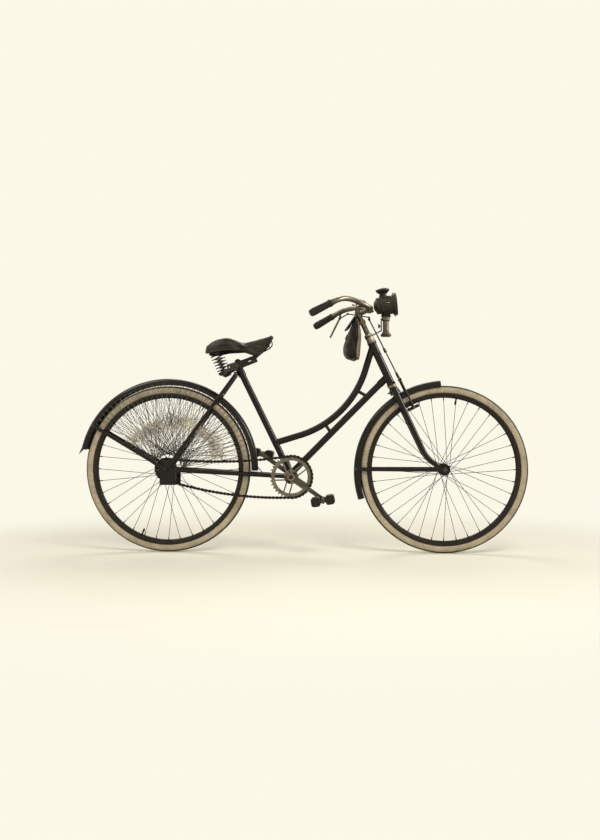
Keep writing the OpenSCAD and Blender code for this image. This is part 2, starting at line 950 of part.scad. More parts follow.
module brake_rods() {
  knee = bar_at([92, 150, -2], 1);
  mid = brake_top * 0.47 + brake_foot * 0.53;
  color(nickel) {
    rod(lever_at + [2, -10, -29], knee, 2.6);
    rod(knee, brake_top + [0, 10, 10], 2.6);
    rod(brake_top + [0, 10, 10], brake_top, 4.5);
    rod(brake_top, mid, 2.8);
    rod(mid, brake_foot, 2.8);
    rod(mid - 9 * dir(117), mid + 9 * dir(117), 6);
    translate(knee)
      sphere(r = 5);
    translate(brake_top)
      sphere(r = 6);
    rod(brake_foot + 26 * dir(117), brake_foot + 0.3 * dir(117), 5.5);
  }
}

module brake_stirrup() {
  y = 33;
  u = dir(brake_deg);
  color(nickel)
    translate(front_axle_at) {
      across(stirrup_r * u, -y - 4, y + 4, 6.5);
      both() {
        rod(stirrup_r * u + [0, y, 0], (rim_in - 12) * u + [0, y, 0], 4.2);
        across((rim_in - 12) * u, shoe_in + 7.2, y + 5, 5);
      }
    }
}

module brake_shoes() {
  color(black_rubber)
    translate(front_axle_at)
      both()
        rotate([0, -brake_deg, 0])
          translate([rim_in - 5.5 - 13, shoe_in, -25])
            cube([13, 7, 50]);
}

lamp_x = st(0, 0, head_top)[0] + 60;
lamp_z = st(0, 0, head_top)[2] + 26;

module lamp_bracket() {
  ring = st(15, 0, head_top + 28.3);
  post = [lamp_x - 19.7, 0, lamp_z + 26];
  color(steel)
    difference() {
      union() {
        steer()
          translate([0, 0, head_top + 25.6])
            cylinder(h = 5.4, r = 19);
        flat(ring, post, 4.6, 14);
        flat(post - [0, 0, 2.9], post + [0, 0, 52], 5, 13.4);
      }
      steer()
        translate([0, 0, head_top])
          cylinder(h = 60, r = 12.7 + fit);
    }
}

module lamp_container() {
  color(nickel)
    translate([lamp_x, 0, lamp_z]) {
      rotate_extrude()
        polygon([
          [0, 0], [19, 0], [22, 4], [22, 9], [15, 19], [13, 22], [13, 66], [17, 70], [17, 84],
          [0, 84]
        ]);
      translate([0, -9, 48])
        rotate([90, 0, 0])
          cylinder(h = 12, r = 6);
    }
}

// Leaning head of the lamp, about its own middle
module lamp_head() {
  translate([lamp_x, 0, lamp_z + 134])
    rotate([0, -6, 0])
      children();
}

module lamp_body() {
  color(nickel) {
    lamp_head() {
      rotate([0, 90, 0])
        rotate_extrude()
          polygon([
            [0, -52], [12, -52], [19, -48], [32, -41], [35, -38], [35, -24], [40, -20], [40, 28],
            [46, 32], [46, 46], [43, 47], [40, 40], [36, 34], [0, 10]
          ]);
      translate([-8, 0, 30])
        rotate_extrude()
          polygon([
            [0, 0], [19, 0], [19, 10], [15, 13], [15, 19], [22, 25], [29, 34], [29, 38], [22, 42],
            [10, 45], [0, 46]
          ]);
      across([4, 0, 2], -42.5, -36, 13);
      across([4, 0, 2], 36, 42.5, 13);
    }
    translate([lamp_x, 0, lamp_z + 84.2])
      rotate_extrude()
        polygon([[0, 0], [20, 0], [22, 4], [18, 10], [24, 22], [0, 22]]);
  }
}

module lamp_glass() {
  color([0.75, 0.78, 0.74])
    lamp_head()
      rotate([0, 90, 0])
        rotate_extrude()
          polygon([[0, 43], [20, 42.5], [39.4, 40.2], [40.6, 42.6], [20, 46], [0, 47]]);
}

module front_mudguard() {
  c = front_axle_at - front_guard_off * (st(0, 0, crown_low) - front_axle_at)
    / norm(st(0, 0, crown_low) - front_axle_at);
  color(enamel) {
    translate(c)
      rotate([90, 0, 0])
        rotate_extrude(angle = 105, start = 93)
          guard2d();
    steer()
      translate([0, 0, crown_low - 5])
        cylinder(h = 4.9, r = 7);
  }
}

module front_mudguard_stays() {
  color(enamel)
    translate(front_axle_at)
      both() {
        difference() {
          union() {
            across([0, 0, 0], fork_half + 5.2, 55.7, 12);
            flat([0, 54.45, 0], [-42, 54.45, 0], 16, 2.2);
            flat([-41, 54.4, 0], [14 - guard_r, guard_half + 3.2, 1], 15.8, 2.1);
          }
          across([0, 0, 0], 50, 70, front_axle_d / 2 + fit);
        }
        across([16 - guard_r, 0, 1], guard_half + 0.25, guard_half + 5, 4);
      }
}

// Hanging tool bag: a pouch under its flap, and the strap round the stem
bag_at = clamp_at + [-77, 0, -122];

module tool_bag() {
  color(hide) {
    translate(bag_at)
      hull()
        for (p = [[14, 82, 9, 44], [22, 0, 20, 58], [20, -72, 18, 60], [-12, -48, 20, 62], [2, -74, 22, 62]])
          translate([p[0], 0, p[1]])
            rotate([90, 0, 0])
              cylinder(h = 2 * p[3], r = p[2], center = true, $fn = 28);
    difference() {
      union() {
        steer()
          translate([0, 0, stem_high - 46])
            cylinder(h = 18, r = 14);
        flat(bag_at + [6, 0, 80], st(0, 0, stem_high - 37), 6, 24);
      }
      steer()
        translate([0, 0, stem_high - 60])
          cylinder(h = 60, r = 11 + fit);
    }
  }
}

module tyre() {
  spun()
    intersection() {
      translate([tyre_r - tyre_w / 2, 0])
        circle(d = tyre_w, $fn = 96);
      translate([rim_r + 0.1, -tyre_w])
        square([2 * tyre_w, 2 * tyre_w]);
    }
}

module rim(valve) {
  h = rim_w / 2;
  spun()
    polygon([
      [rim_r, -h], [rim_r, h], [rim_r - 7, h], [rim_in + 4, h - 5], [rim_in, h - 10],
      [rim_in + 1.5, 3], [rim_in + 1.5, -3], [rim_in, 10 - h], [rim_in + 4, 5 - h],
      [rim_r - 7, -h]
    ]);
  rod((rim_in + 4) * dir(valve), (rim_in - 22) * dir(valve), 3);
}

// Three-cross tangent lacing
module lacing(hole_r, flange_y) {
  n = spokes / 2;
  for (s = [-1, 1])
    for (k = [0:n - 1]) {
      out = k % 2 == 0 ? 1 : -1;
      at_rim = (k + (s > 0 ? 0.5 : 0)) * 360 / n;
      at_hub = at_rim - out * 3 * 360 / n;
      rod(
        hole_r * dir(at_hub) + [0, s * (flange_y + out * 3.4), 0],
        (rim_in - 0.6) * dir(at_rim) + [0, s * 5.5, 0],
        spoke_d / 2
      );
    }
}

module front_tyre() {
  color(tan_rubber)
    translate(front_axle_at)
      tyre();
}

module front_rim() {
  color(enamel)
    translate(front_axle_at)
      rim(80);
}

module front_spokes() {
  color(steel)
    translate(front_axle_at)
      lacing(front_flange_d / 2 - 3.2, 33);
}

module front_hub() {
  f = front_flange_d / 2;
  b = front_axle_d / 2 + run;
  color(enamel)
    translate(front_axle_at)
      spun()
        polygon([
          [b, -38], [12, -38], [12, -34.5], [f, -34.5], [f, -31.5], [11, -31.5], [11, 31.5],
          [f, 31.5], [f, 34.5], [12, 34.5], [12, 38], [b, 38]
        ]);
}

module rear_tyre() {
  color(tan_rubber)
    tyre();
}

module rear_rim() {
  color(enamel)
    rim(248);
}

module rear_spokes() {
  color(steel)
    lacing(rear_flange_d / 2 - 3.5, 32);
}

module rear_hub() {
  f = rear_flange_d / 2;
  b = rear_axle_d / 2 + run;
  color(enamel)
    spun()
      polygon([
        [b, -52], [17, -52], [17, -33.5], [f, -33.5], [f, -30.5], [14, -30.5], [14, 30.5],
        [f, 30.5], [f, 33.5], [15, 33.5], [15, 52], [b, 52]
      ]);
}

module rear_sprocket() {
  color(steel)
    difference() {
      union() {
        plate(chain_y - tooth / 2, chain_y + tooth / 2)
          teeth2d(sprocket_teeth, sprocket_r);
        across([0, 0, 0], -51.6, -38, 23);
      }
      across([0, 0, 0], -60, -30, 17 + run);
    }
}

// Crank frame: X along the right crank
module cranked() {
  translate(bb)
    rotate([0, crank_angle, 0])
      children();
}

module crank_axle() {
  color(steel)
    across(bb, -68, 68, 8);
}

module chainring() {
  y0 = chain_y - tooth / 2;
  y1 = chain_y + tooth / 2;
  color(nickel)
    cranked()
      difference() {
        union() {
          plate(y0, y1)
            difference() {
              teeth2d(ring_teeth, ring_r);
              circle(r = ring_r - 19);
            }
          across([0, 0, 0], y0, y1, 31);
          for (i = [0:4])
            for (s = [-1, 1])
              plate(y0, y1)
                bar2d(
                  27 * [cos(72 * i + s * 27), sin(72 * i + s * 27)],
                  (ring_r - 15) * [cos(72 * i + s * 10), sin(72 * i + s * 10)],
                  6
                );
        }
        across([0, 0, 0], y0 - 1, y1 + 1, 8 + fit);
      }
}

// Cottered crank on the right with its pedal pin
module crank() {
  color(nickel)
    difference() {
      union() {
        across([0, 0, 0], -crank_out, -crank_in, 16);
        plate(-crank_out, -crank_out + 13)
          polygon([[0, -11], [crank_len, -8], [crank_len, 8], [0, 11]]);
        across([crank_len, 0, 0], -crank_out - 1, -crank_out + 13.5, 12);
        across([crank_len, 0, 0], -pedal_tip, -crank_out, 5.5);
        across([crank_len, 0, 0], -pedal_tip - 4, -pedal_tip, 8);
        translate([0, -58, -23])
          cylinder(h = 44, r = 4.5);
      }
      across([0, 0, 0], -100, 0, 8 + run);
    }
}

module crank_right() {
  cranked()
    crank();
}

module crank_left() {
  cranked()
    rotate([0, 0, 180])
      crank();
}

// Pedal on the right, about its own pin
module pedal_frame() {
  color(nickel)
    difference() {
      union() {
        for (y = [-79, -pedal_tip + 4])
          plate(y - 3, y) {
            bar2d([-34, 0], [34, 0], 13);
            for (s = [-1, 1])
              translate([s * 31, 0])
                circle(r = 10);
          }
        across([0, 0, 0], -pedal_tip + 0.8, -76, 10);
      }
      across([0, 0, 0], -200, 0, 5.5 + run);
    }
}

module pedal_blocks() {
  color(black_rubber)
    for (s = [-1, 1])
      plate(-pedal_tip + 4.2, -82.2)
        polygon([
          [s * 12, -13], [s * 18, -19], [s * 41, -19], [s * 49, -12], [s * 49, 12], [s * 41, 19],
          [s * 18, 19], [s * 12, 13]
        ]);
}

pedal_at = [crank_len * cos(crank_angle), 0, -crank_len * sin(crank_angle)];

module on_pin(side) {
  translate(bb - side * pedal_at)
    rotate([0, -10, side > 0 ? 180 : 0])
      children();
}

module pedal_right() {
  on_pin(-1)
    pedal_frame();
}

module pedal_right_blocks() {
  on_pin(-1)
    pedal_blocks();
}

module pedal_left() {
  on_pin(1)
    pedal_frame();
}

module pedal_left_blocks() {
  on_pin(1)
    pedal_blocks();
}

placed() head_tube();
placed() loop_tube();
placed() down_tube();
placed() tube_struts();
placed() seat_tube();
placed() bottom_bracket();
placed() chain_stays();
placed() seat_stays();
placed() rear_fork_ends();
placed() rear_axle();
placed() head_cups();
placed() rear_mudguard();
placed() rear_mudguard_stays();
placed() dress_guard_right();
placed() dress_guard_left();
placed() seat_post();
placed() saddle_frame();
placed() saddle_springs();
placed() saddle();
placed() chain();
placed() fork_crown();
placed() fork_blades();
placed() front_axle();
placed() headset_nuts();
placed() stem();
placed() handlebar();
placed() grips();
placed() bell();
placed() brake_lever();
placed() brake_rods();
placed() brake_stirrup();
placed() brake_shoes();
placed() lamp_bracket();
placed() lamp_body();
placed() lamp_glass();
placed() lamp_container();
placed() front_mudguard();
placed() front_mudguard_stays();
placed() tool_bag();
placed() front_tyre();
placed() front_rim();
placed() front_spokes();
placed() front_hub();
placed() rear_tyre();
placed() rear_rim();
placed() rear_spokes();
placed() rear_hub();
placed() rear_sprocket();
placed() crank_axle();
placed() chainring();
placed() crank_right();
placed() crank_left();
placed() pedal_right();
placed() pedal_right_blocks();
placed() pedal_left();
placed() pedal_left_blocks();
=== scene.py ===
import math
import random

import bmesh
import bpy
from bpy.props import FloatProperty, FloatVectorProperty, IntProperty, PointerProperty
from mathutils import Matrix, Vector


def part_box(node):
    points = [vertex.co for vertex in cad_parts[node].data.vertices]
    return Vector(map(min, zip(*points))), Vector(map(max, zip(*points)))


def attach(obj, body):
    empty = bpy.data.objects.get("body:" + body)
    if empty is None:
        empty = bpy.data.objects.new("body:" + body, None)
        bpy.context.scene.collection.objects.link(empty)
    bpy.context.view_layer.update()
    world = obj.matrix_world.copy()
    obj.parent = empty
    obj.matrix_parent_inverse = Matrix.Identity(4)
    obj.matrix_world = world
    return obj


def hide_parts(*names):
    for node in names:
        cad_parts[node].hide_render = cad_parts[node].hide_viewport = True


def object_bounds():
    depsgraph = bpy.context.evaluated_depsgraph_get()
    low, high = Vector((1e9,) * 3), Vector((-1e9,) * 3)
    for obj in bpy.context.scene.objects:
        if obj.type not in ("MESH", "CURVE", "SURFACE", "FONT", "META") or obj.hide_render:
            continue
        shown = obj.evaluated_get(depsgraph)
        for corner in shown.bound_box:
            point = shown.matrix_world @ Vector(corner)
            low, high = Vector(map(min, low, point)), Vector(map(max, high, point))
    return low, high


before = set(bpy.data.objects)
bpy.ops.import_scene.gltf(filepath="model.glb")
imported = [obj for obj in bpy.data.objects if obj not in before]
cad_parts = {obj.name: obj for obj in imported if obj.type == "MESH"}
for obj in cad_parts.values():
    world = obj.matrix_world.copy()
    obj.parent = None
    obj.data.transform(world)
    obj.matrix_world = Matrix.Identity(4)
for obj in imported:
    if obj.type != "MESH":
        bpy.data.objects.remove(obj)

bl_info = {
    "name": "Loop-frame roadster dressing",
    "version": (1, 0, 0),
    "blender": (4, 5, 0),
    "location": "View3D > Sidebar > Roadster",
    "description": "Finishes, tyres, chain, net, leather and fittings of a step-through roadster",
    "category": "Object",
}

CAD_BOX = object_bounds()


def middle(node):
    low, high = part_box(node)
    return (Vector(low) + Vector(high)) / 2


REAR_AXLE = middle("rear_hub")
FRONT_AT = (middle("front_hub") - REAR_AXLE) * 1000
CRANK_AT = (middle("crank_axle") - REAR_AXLE) * 1000
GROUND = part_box("rear_tyre")[0][2]
HEAD_ANGLE = 64.9
FORK_RAKE = 47
STEER_UP = Vector((-math.cos(math.radians(HEAD_ANGLE)), 0, math.sin(math.radians(HEAD_ANGLE))))
STEER_FORE = Vector((STEER_UP.z, 0, -STEER_UP.x))
FORK_FOOT = FRONT_AT - FORK_RAKE * STEER_FORE


def place(point):
    """Metres in the shared frame, from millimetres measured at the rear axle."""
    return REAR_AXLE + Vector(point) / 1000


def polar(radius, degrees, y=0.0):
    angle = math.radians(degrees)
    return Vector((radius * math.cos(angle), y, radius * math.sin(angle)))


def sideways(y):
    return Vector((0, y, 0))


def around(turns, side, up):
    """Unit step in the plane of two directions, some turns from the first."""
    return math.cos(math.tau * turns) * side + math.sin(math.tau * turns) * up


def steered(fore, left, up):
    """Point of the steering assembly: ahead of its axis, to the left, up the axis."""
    return FORK_FOOT + fore * STEER_FORE + sideways(left) + up * STEER_UP


CLAMP_AT = steered(52, 0, 751)
BAG_AT = CLAMP_AT + Vector((-77, 0, -122))
SEAT_AT = -REAR_AXLE * 1000


def smooth_rows(rows, count):
    """Catmull-Rom rows between the given ones, count to each span."""
    out = []
    last = len(rows) - 1
    for i in range(last):
        a, b, c, d = (rows[max(0, min(last, k))] for k in (i - 1, i, i + 1, i + 2))
        for k in range(count):
            t = k / count
            out.append([
                0.5 * (2 * q + t * (r - p) + t * t * (2 * p - 5 * q + 4 * r - s)
                       + t ** 3 * (3 * q - p - 3 * r + s))
                for p, q, r, s in zip(a, b, c, d)
            ])
    out.append(list(rows[last]))
    return out


class Shape:
    """Mesh under construction, in millimetres from the rear axle."""

    def __init__(self):
        self.points = []
        self.faces = []
        self.slots = []

    def add(self, points, faces, slot=0):
        base = len(self.points)
        self.points += [Vector(p) for p in points]
        self.faces += [[base + i for i in f] for f in faces]
        self.slots += [slot] * len(faces)

    def loft(self, rings, closed=False, caps=True, slot=0):
        """Skin over rings that all have the same number of points."""
        n = len(rings[0])
        count = len(rings)
        faces = []
        for i in range(count if closed else count - 1):
            for k in range(n):
                a, b = i * n + k, i * n + (k + 1) % n
                j = (i + 1) % count
                faces.append([a, b, j * n + (k + 1) % n, j * n + k])
        if caps and not closed:
            faces.append(list(range(n))[::-1])
            faces.append([(count - 1) * n + k for k in range(n)])
        self.add([p for ring in rings for p in ring], faces, slot)

    def tube(self, path, radius, sides=8, closed=False, slot=0):
        """Tube along a path; radius is one number or one for each point."""
        path = [Vector(p) for p in path]
        count = len(path)
        radii = radius if isinstance(radius, (list, tuple)) else [radius] * count
        rings = []
        side = None
        for i, p in enumerate(path):
            ahead = path[(i + 1) % count] if closed else path[min(i + 1, count - 1)]
            behind = path[i - 1] if closed else path[max(i - 1, 0)]
            along = (ahead - behind).normalized()
            if side is None:
                side = along.cross(Vector((0.13, 1, 0.07))).normalized()
            side = (side - along * side.dot(along)).normalized()
            up = along.cross(side)
            rings.append([p + radii[i] * around(k / sides, side, up) for k in range(sides)])
        self.loft(rings, closed, slot=slot)

    def lathe(self, profile, at, axis, steps):
        """Turned form: profile of radius and height along the axis from a point."""
        at, axis = Vector(at), Vector(axis).normalized()
        side = axis.cross(Vector((0.31, 0.17, 0.93))).normalized()
        up = axis.cross(side)
        rings = [
            [at + h * axis + max(r, 0.02) * around(k / steps, side, up) for k in range(steps)]
            for r, h in profile
        ]
        self.loft(rings)

    def slab(self, at, axes, size, bevel):
        """Box with chamfered edges: centre, two directions, and full sizes."""
        u, v = (Vector(a).normalized() for a in axes)
        v = (v - u * v.dot(u)).normalized()
        w = u.cross(v)
        a, b, c = (s / 2 for s in size)
        cut = min(bevel, a * 0.9, b * 0.9, c * 0.9)
        rings = []
        for h, inset in ((-c, cut), (-c + cut, 0), (c - cut, 0), (c, cut)):
            x, y = a - inset, b - inset
            corner = cut if inset == 0 else cut * 0.5
            outline = [
                (x, y - corner), (x - corner, y), (corner - x, y), (-x, y - corner),
                (-x, corner - y), (corner - x, -y), (x - corner, -y), (x, corner - y)
            ]
            rings.append([Vector(at) + p * u + q * v + h * w for p, q in outline])
        self.loft(rings)


def piece(name, shape, finishes, body, nodes=(), sharp=40.0, split=0):
    """Object from a shape, with its finish, riding on its body."""
    mesh = bpy.data.meshes.new(name)
    mesh.from_pydata([place(p) for p in shape.points], [], shape.faces)
    if mesh.validate():
        raise RuntimeError(f"{name} has faces that are not sound")
    for finish in finishes:
        mesh.materials.append(bpy.data.materials[finish])
    mesh.polygons.foreach_set("material_index", shape.slots)
    mesh.polygons.foreach_set("use_smooth", [True] * len(mesh.polygons))
    obj = bpy.data.objects.new(name, mesh)
    bpy.context.scene.collection.objects.link(obj)
    turn_outwards(mesh)
    mesh.set_sharp_from_angle(angle=math.radians(sharp))
    if split:
        step = obj.modifiers.new("Smooth", "SUBSURF")
        step.levels = step.render_levels = split
    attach(obj, body)
    if nodes:
        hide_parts(*nodes)


def turn_outwards(mesh):
    work = bmesh.new()
    work.from_mesh(mesh)
    bmesh.ops.recalc_face_normals(work, faces=work.faces)
    work.to_mesh(mesh)
    work.free()


def feed(tree, socket, value):
    """Links a socket, or sets a value or a colour."""
    if isinstance(value, bpy.types.NodeSocket):
        tree.links.new(value, socket)
    else:
        socket.default_value = (*value, 1) if socket.type == "RGBA" else value


def add_node(tree, kind, feeds=None, **settings):
    """Shader node with its settings, and its inputs fed by name or number."""
    made = tree.nodes.new(kind)
    for key, value in settings.items():
        setattr(made, key, value)
    for key, value in (feeds or {}).items():
        feed(tree, made.inputs[key], value)
    return made


class Finish:
    """Procedural finish built on one Principled shader."""

    def __init__(self, name, **numbers):
        if name in bpy.data.materials:
            raise RuntimeError(f"{name} is already the name of a material")
        material = bpy.data.materials.new(name)
        material.use_nodes = True
        self.tree = material.node_tree
        self.shader = self.tree.nodes["Principled BSDF"]
        self.coords = self.node("ShaderNodeTexCoord").outputs["Object"]
        self.finish(**numbers)

    def node(self, kind, feeds=None, **settings):
        return add_node(self.tree, kind, feeds, **settings)

    def grain(self, scale, detail=4.0, rough=0.6, stretch=(1, 1, 1), warp=0.0):
        """Cloudy variation; scale is in features to the metre."""
        mapped = self.node("ShaderNodeMapping", {"Vector": self.coords, "Scale": stretch})
        return self.node("ShaderNodeTexNoise", {
            "Vector": mapped.outputs["Vector"], "Scale": scale, "Detail": detail,
            "Roughness": rough, "Distortion": warp,
        }).outputs["Fac"]

    def cells(self, scale):
        """Distance to the edge of the nearest of many cells."""
        feeds = {"Vector": self.coords, "Scale": scale}
        return self.node("ShaderNodeTexVoronoi", feeds, feature="DISTANCE_TO_EDGE").outputs["Distance"]

    def ramp(self, value, stops):
        """Colour ramp; each stop is a place and a grey or a colour."""
        made = self.node("ShaderNodeValToRGB", {"Fac": value})
        bar = made.color_ramp.elements
        while len(bar) < len(stops):
            bar.new(0.5)
        for element, (where, tone) in zip(bar, stops):
            element.position = where
            rgb = tone if hasattr(tone, "__len__") else (tone, tone, tone)
            element.color = (*rgb, 1)
        return made.outputs["Color"]

    def mix(self, amount, a, b, how="MIX"):
        feeds = {0: amount, 6: a, 7: b}
        return self.node("ShaderNodeMix", feeds, data_type="RGBA", blend_type=how).outputs[2]

    def painted_under_shade(self):
        """How far the surface faces down, from 0 to 1; the mask of the painted shade on undersides."""
        split = self.node("ShaderNodeSeparateXYZ", {0: self.coords.node.outputs["Normal"]})
        feeds = {"From Min": 0.1, "From Max": -0.8, "Value": split.outputs["Z"]}
        return self.node("ShaderNodeMapRange", feeds).outputs["Result"]

    def bump(self, height, strength, distance, under=None):
        feeds = {"Strength": strength, "Distance": distance, "Height": height}
        if under is not None:
            feeds["Normal"] = under
        return self.node("ShaderNodeBump", feeds).outputs["Normal"]

    def finish(self, **sockets):
        """Feeds the shader's inputs, named in small letters with underscores."""
        for key, value in sockets.items():
            socket = key.replace("_", " ").title().replace("Ior", "IOR")
            feed(self.tree, self.shader.inputs[socket], value)


def shade(colour, k):
    return tuple(min(1.0, c * k) for c in colour)


def colour(name, use, rgb):
    return FloatVectorProperty(name=name, description=use, subtype="COLOR", default=rgb)


def length(name, use, metres):
    return FloatProperty(name=name, description=use, unit="LENGTH", default=metres)


class RoadsterColours(bpy.types.PropertyGroup):
    enamel: colour(
        "Enamel", "Black stove enamel of the frame and guards", (0.0078, 0.0058, 0.0043))
    rust: colour(
        "Rust", "Brown bloom where the enamel or plate is worn", (0.12, 0.068, 0.036))
    nickel: colour(
        "Nickel", "Aged nickel plate of the bars and cranks", (0.21, 0.187, 0.145))
    steel: colour(
        "Steel", "Dull bare steel of spokes, springs and axles", (0.12, 0.107, 0.088))
    tyre_wall: colour(
        "Tyre wall", "Perished pale rubber of the tyre walls", (0.45, 0.375, 0.26))
    tread: colour(
        "Tread", "Dusty dark rubber of the tread", (0.035, 0.028, 0.02))
    rubber: colour(
        "Rubber", "Black rubber of grips, blocks and shoes", (0.0115, 0.0098, 0.008))
    saddle: colour(
        "Saddle leather", "Worn brown leather of the saddle", (0.058, 0.043, 0.029))
    bag: colour(
        "Bag leather", "Dark leather of the tool bag", (0.0115, 0.0086, 0.0062))
    strap: colour(
        "Strap leather", "Pale leather of the strap and gussets", (0.27, 0.2, 0.115))
    twine: colour(
        "Twine", "Faded twine of the dress guards", (0.1, 0.086, 0.066))
    paper: colour(
        "Backdrop", "Cream of the floor and the backdrop", (0.97, 0.94, 0.81))


class RoadsterSizes(bpy.types.PropertyGroup):
    tyre_section: length(
        "Tyre section", "Width of the tyre", 0.037)
    tread_depth: length(
        "Tread depth", "Depth of the grooves in the tread", 0.0011)
    net_holes: IntProperty(
        name="Net holes", description="Lacing holes along each side of the rear mudguard",
        min=30, max=90, default=36)
    twine_radius: length(
        "Twine radius", "Radius of the strings of the dress guards", 0.00088)
    leather: length(
        "Saddle leather", "Thickness of the saddle cover", 0.0045)
    lens: FloatProperty(
        name="Camera lens", description="Focal length that gives the view its depth",
        subtype="DISTANCE_CAMERA", default=41.1)


def colours():
    return bpy.context.scene.roadster_colours


def sizes():
    return bpy.context.scene.roadster_sizes


def make_enamel(name, base, rust, worn):
    """Stove enamel: cloudy dust, fine chips down to rust, a soft orange peel."""
    f = Finish(name, specular_ior_level=0.2)
    dust = f.grain(7, 6, 0.62)
    chips = f.ramp(f.grain(210, 3, 0.7), [(0.66 - worn, 0.0), (0.71 - worn, 1.0)])
    patches = f.ramp(f.grain(16, 4, 0.65), [(0.5, 0.0), (0.72, 1.0)])
    chip = f.mix(patches, (0, 0, 0), chips)
    body = f.ramp(dust, [(0.32, base), (0.62, shade(base, 1.45)), (0.82, shade(base, 2.4))])
    f.finish(
        base_color=f.mix(chip, body, rust),
        roughness=f.mix(chip, f.ramp(dust, [(0.3, 0.17), (0.8, 0.42)]), (0.8, 0.8, 0.8)),
        normal=f.bump(chip, 0.25, 0.0004, f.bump(f.grain(420, 2), 0.05, 0.0003)),
    )


def make_metal(name, base, rust, stain, rough, brushed, patch=14):
    """Plated or bare metal: tarnish clouds, pits, fine scratches and a painted shade on the surfaces
    that face down.
    """
    f = Finish(name, metallic=1.0)
    cloud = f.grain(patch, 6, 0.66, warp=0.6)
    pits = f.ramp(f.grain(340, 3, 0.7), [(0.6, 0.0), (0.68, 1.0)])
    tarnish = f.ramp(cloud, [(0.5 - stain, 0.0), (0.74 - stain, 1.0)])
    scratch = f.grain(60, 3, 0.5, (1, 1, brushed))
    tarnish_and_under_shade = f.mix(tarnish, (0, 0, 0), f.mix(0.6, pits, (0.85, 0.85, 0.85)))
    # Painted shade: surfaces that face down are darkened towards the rust colour and made rougher, on
    # top of the tarnish.
    tarnish_and_under_shade = f.mix(f.painted_under_shade(), tarnish_and_under_shade, (0.75, 0.75, 0.75))
    f.finish(
        base_color=f.mix(tarnish_and_under_shade, f.ramp(scratch, [(0.3, shade(base, 0.82)), (0.7, base)]), rust),
        roughness=f.mix(tarnish_and_under_shade, f.ramp(scratch, [(0.3, rough), (0.7, rough * 1.5)]), (0.72, 0.72, 0.72)),
        normal=f.bump(pits, 0.12, 0.0003, f.bump(scratch, 0.04, 0.0002)),
    )


def make_rubber(name, base, dust, rough, scale):
    """Rubber: bloom and dust in clouds, a fine granular skin."""
    f = Finish(name, specular_ior_level=0.16)
    cloud = f.grain(scale, 6, 0.65)
    specks = f.grain(520, 3, 0.7)
    f.finish(
        base_color=f.mix(f.ramp(cloud, [(0.35, 0.0), (0.8, 1.0)]),
                         f.ramp(specks, [(0.3, shade(base, 0.7)), (0.7, shade(base, 1.25))]), dust),
        roughness=f.ramp(cloud, [(0.3, rough), (0.8, min(1.0, rough + 0.25))]),
        normal=f.bump(specks, 0.18, 0.0004),
    )


def make_tyre_wall(name, base):
    """Perished pale rubber: brown stains, dark scuffs and cracks along the wall."""
    f = Finish(name, specular_ior_level=0.25)
    stain = f.grain(11, 7, 0.7, warp=0.5)
    scuff = f.ramp(f.grain(70, 5, 0.72), [(0.58, 0.0), (0.74, 1.0)])
    cracks = f.ramp(f.cells(190), [(0.0, 1.0), (0.05, 0.0)])
    tone = f.ramp(stain, [
        (0.28, shade(base, 0.55)), (0.5, shade(base, 0.92)), (0.75, shade(base, 1.2)),
    ])
    f.finish(
        base_color=f.mix(f.mix(0.4, (0, 0, 0), cracks),
                         f.mix(scuff, tone, shade(base, 0.33)), shade(base, 0.2)),
        roughness=f.ramp(stain, [(0.3, 0.95), (0.75, 0.72)]),
        normal=f.bump(cracks, 0.2, -0.0004, f.bump(f.grain(380, 3), 0.15, 0.0003)),
    )


def make_leather(name, base, worn, rough, cell, streak=0.0):
    """Leather: pebbled grain, long creases with painted shade in them, paler rubbed places and dark
    streaks.
    """
    f = Finish(name, specular_ior_level=0.14)
    rub = f.grain(13, 6, 0.68, warp=0.4)
    crease = f.ramp(f.grain(34, 5, 0.7, (0.35, 1.0, 1.0), 1.2), [(0.47, 0.0), (0.5, 1.0), (0.53, 0.0)])
    pebble = f.ramp(f.cells(cell), [(0.0, 0.0), (0.16, 1.0)])
    body = f.ramp(rub, [(0.3, shade(base, 0.55)), (0.55, base), (0.8, worn)])
    lines = f.ramp(f.grain(58, 4, 0.62, (0.16, 0.5, 1.0), 0.3), [(0.4, 0.1), (0.62, 1.0)])
    body = f.mix(streak, body, lines, "MULTIPLY")
    # Painted shade: the creases are darkened as well as bumped in.
    f.finish(
        base_color=f.mix(f.mix(0.55, (0, 0, 0), crease), body, shade(base, 0.35)),
        roughness=f.ramp(rub, [(0.3, rough + 0.2), (0.8, rough)]),
        normal=f.bump(crease, 0.35, -0.0008, f.bump(pebble, 0.22, 0.0004)),
    )


def make_twine(name, base):
    """Twine: dark greasy lengths and pale bleached ones, twisted strands."""
    f = Finish(name, specular_ior_level=0.15, sheen_weight=0.25)
    age = f.grain(9, 5, 0.7)
    strand = f.grain(900, 2, 0.6)
    f.finish(
        base_color=f.mix(f.ramp(strand, [(0.3, 0.0), (0.7, 0.6)]),
                         f.ramp(age, [(0.36, shade(base, 0.2)), (0.5, shade(base, 0.7)),
                                      (0.66, shade(base, 1.5))]), shade(base, 0.5)),
        roughness=f.ramp(age, [(0.3, 0.75), (0.7, 1.0)]),
        normal=f.bump(strand, 0.5, 0.0003),
    )


def make_glass(name, tint):
    """Old glass: clear or tinted, with greasy smears."""
    f = Finish(name, transmission_weight=1.0, ior=1.5)
    smear = f.grain(45, 5, 0.7)
    f.finish(
        base_color=f.ramp(smear, [(0.3, tint), (0.8, shade(tint, 0.82))]),
        roughness=f.ramp(smear, [(0.4, 0.02), (0.85, 0.16)]),
        normal=f.bump(smear, 0.03, 0.0004),
    )


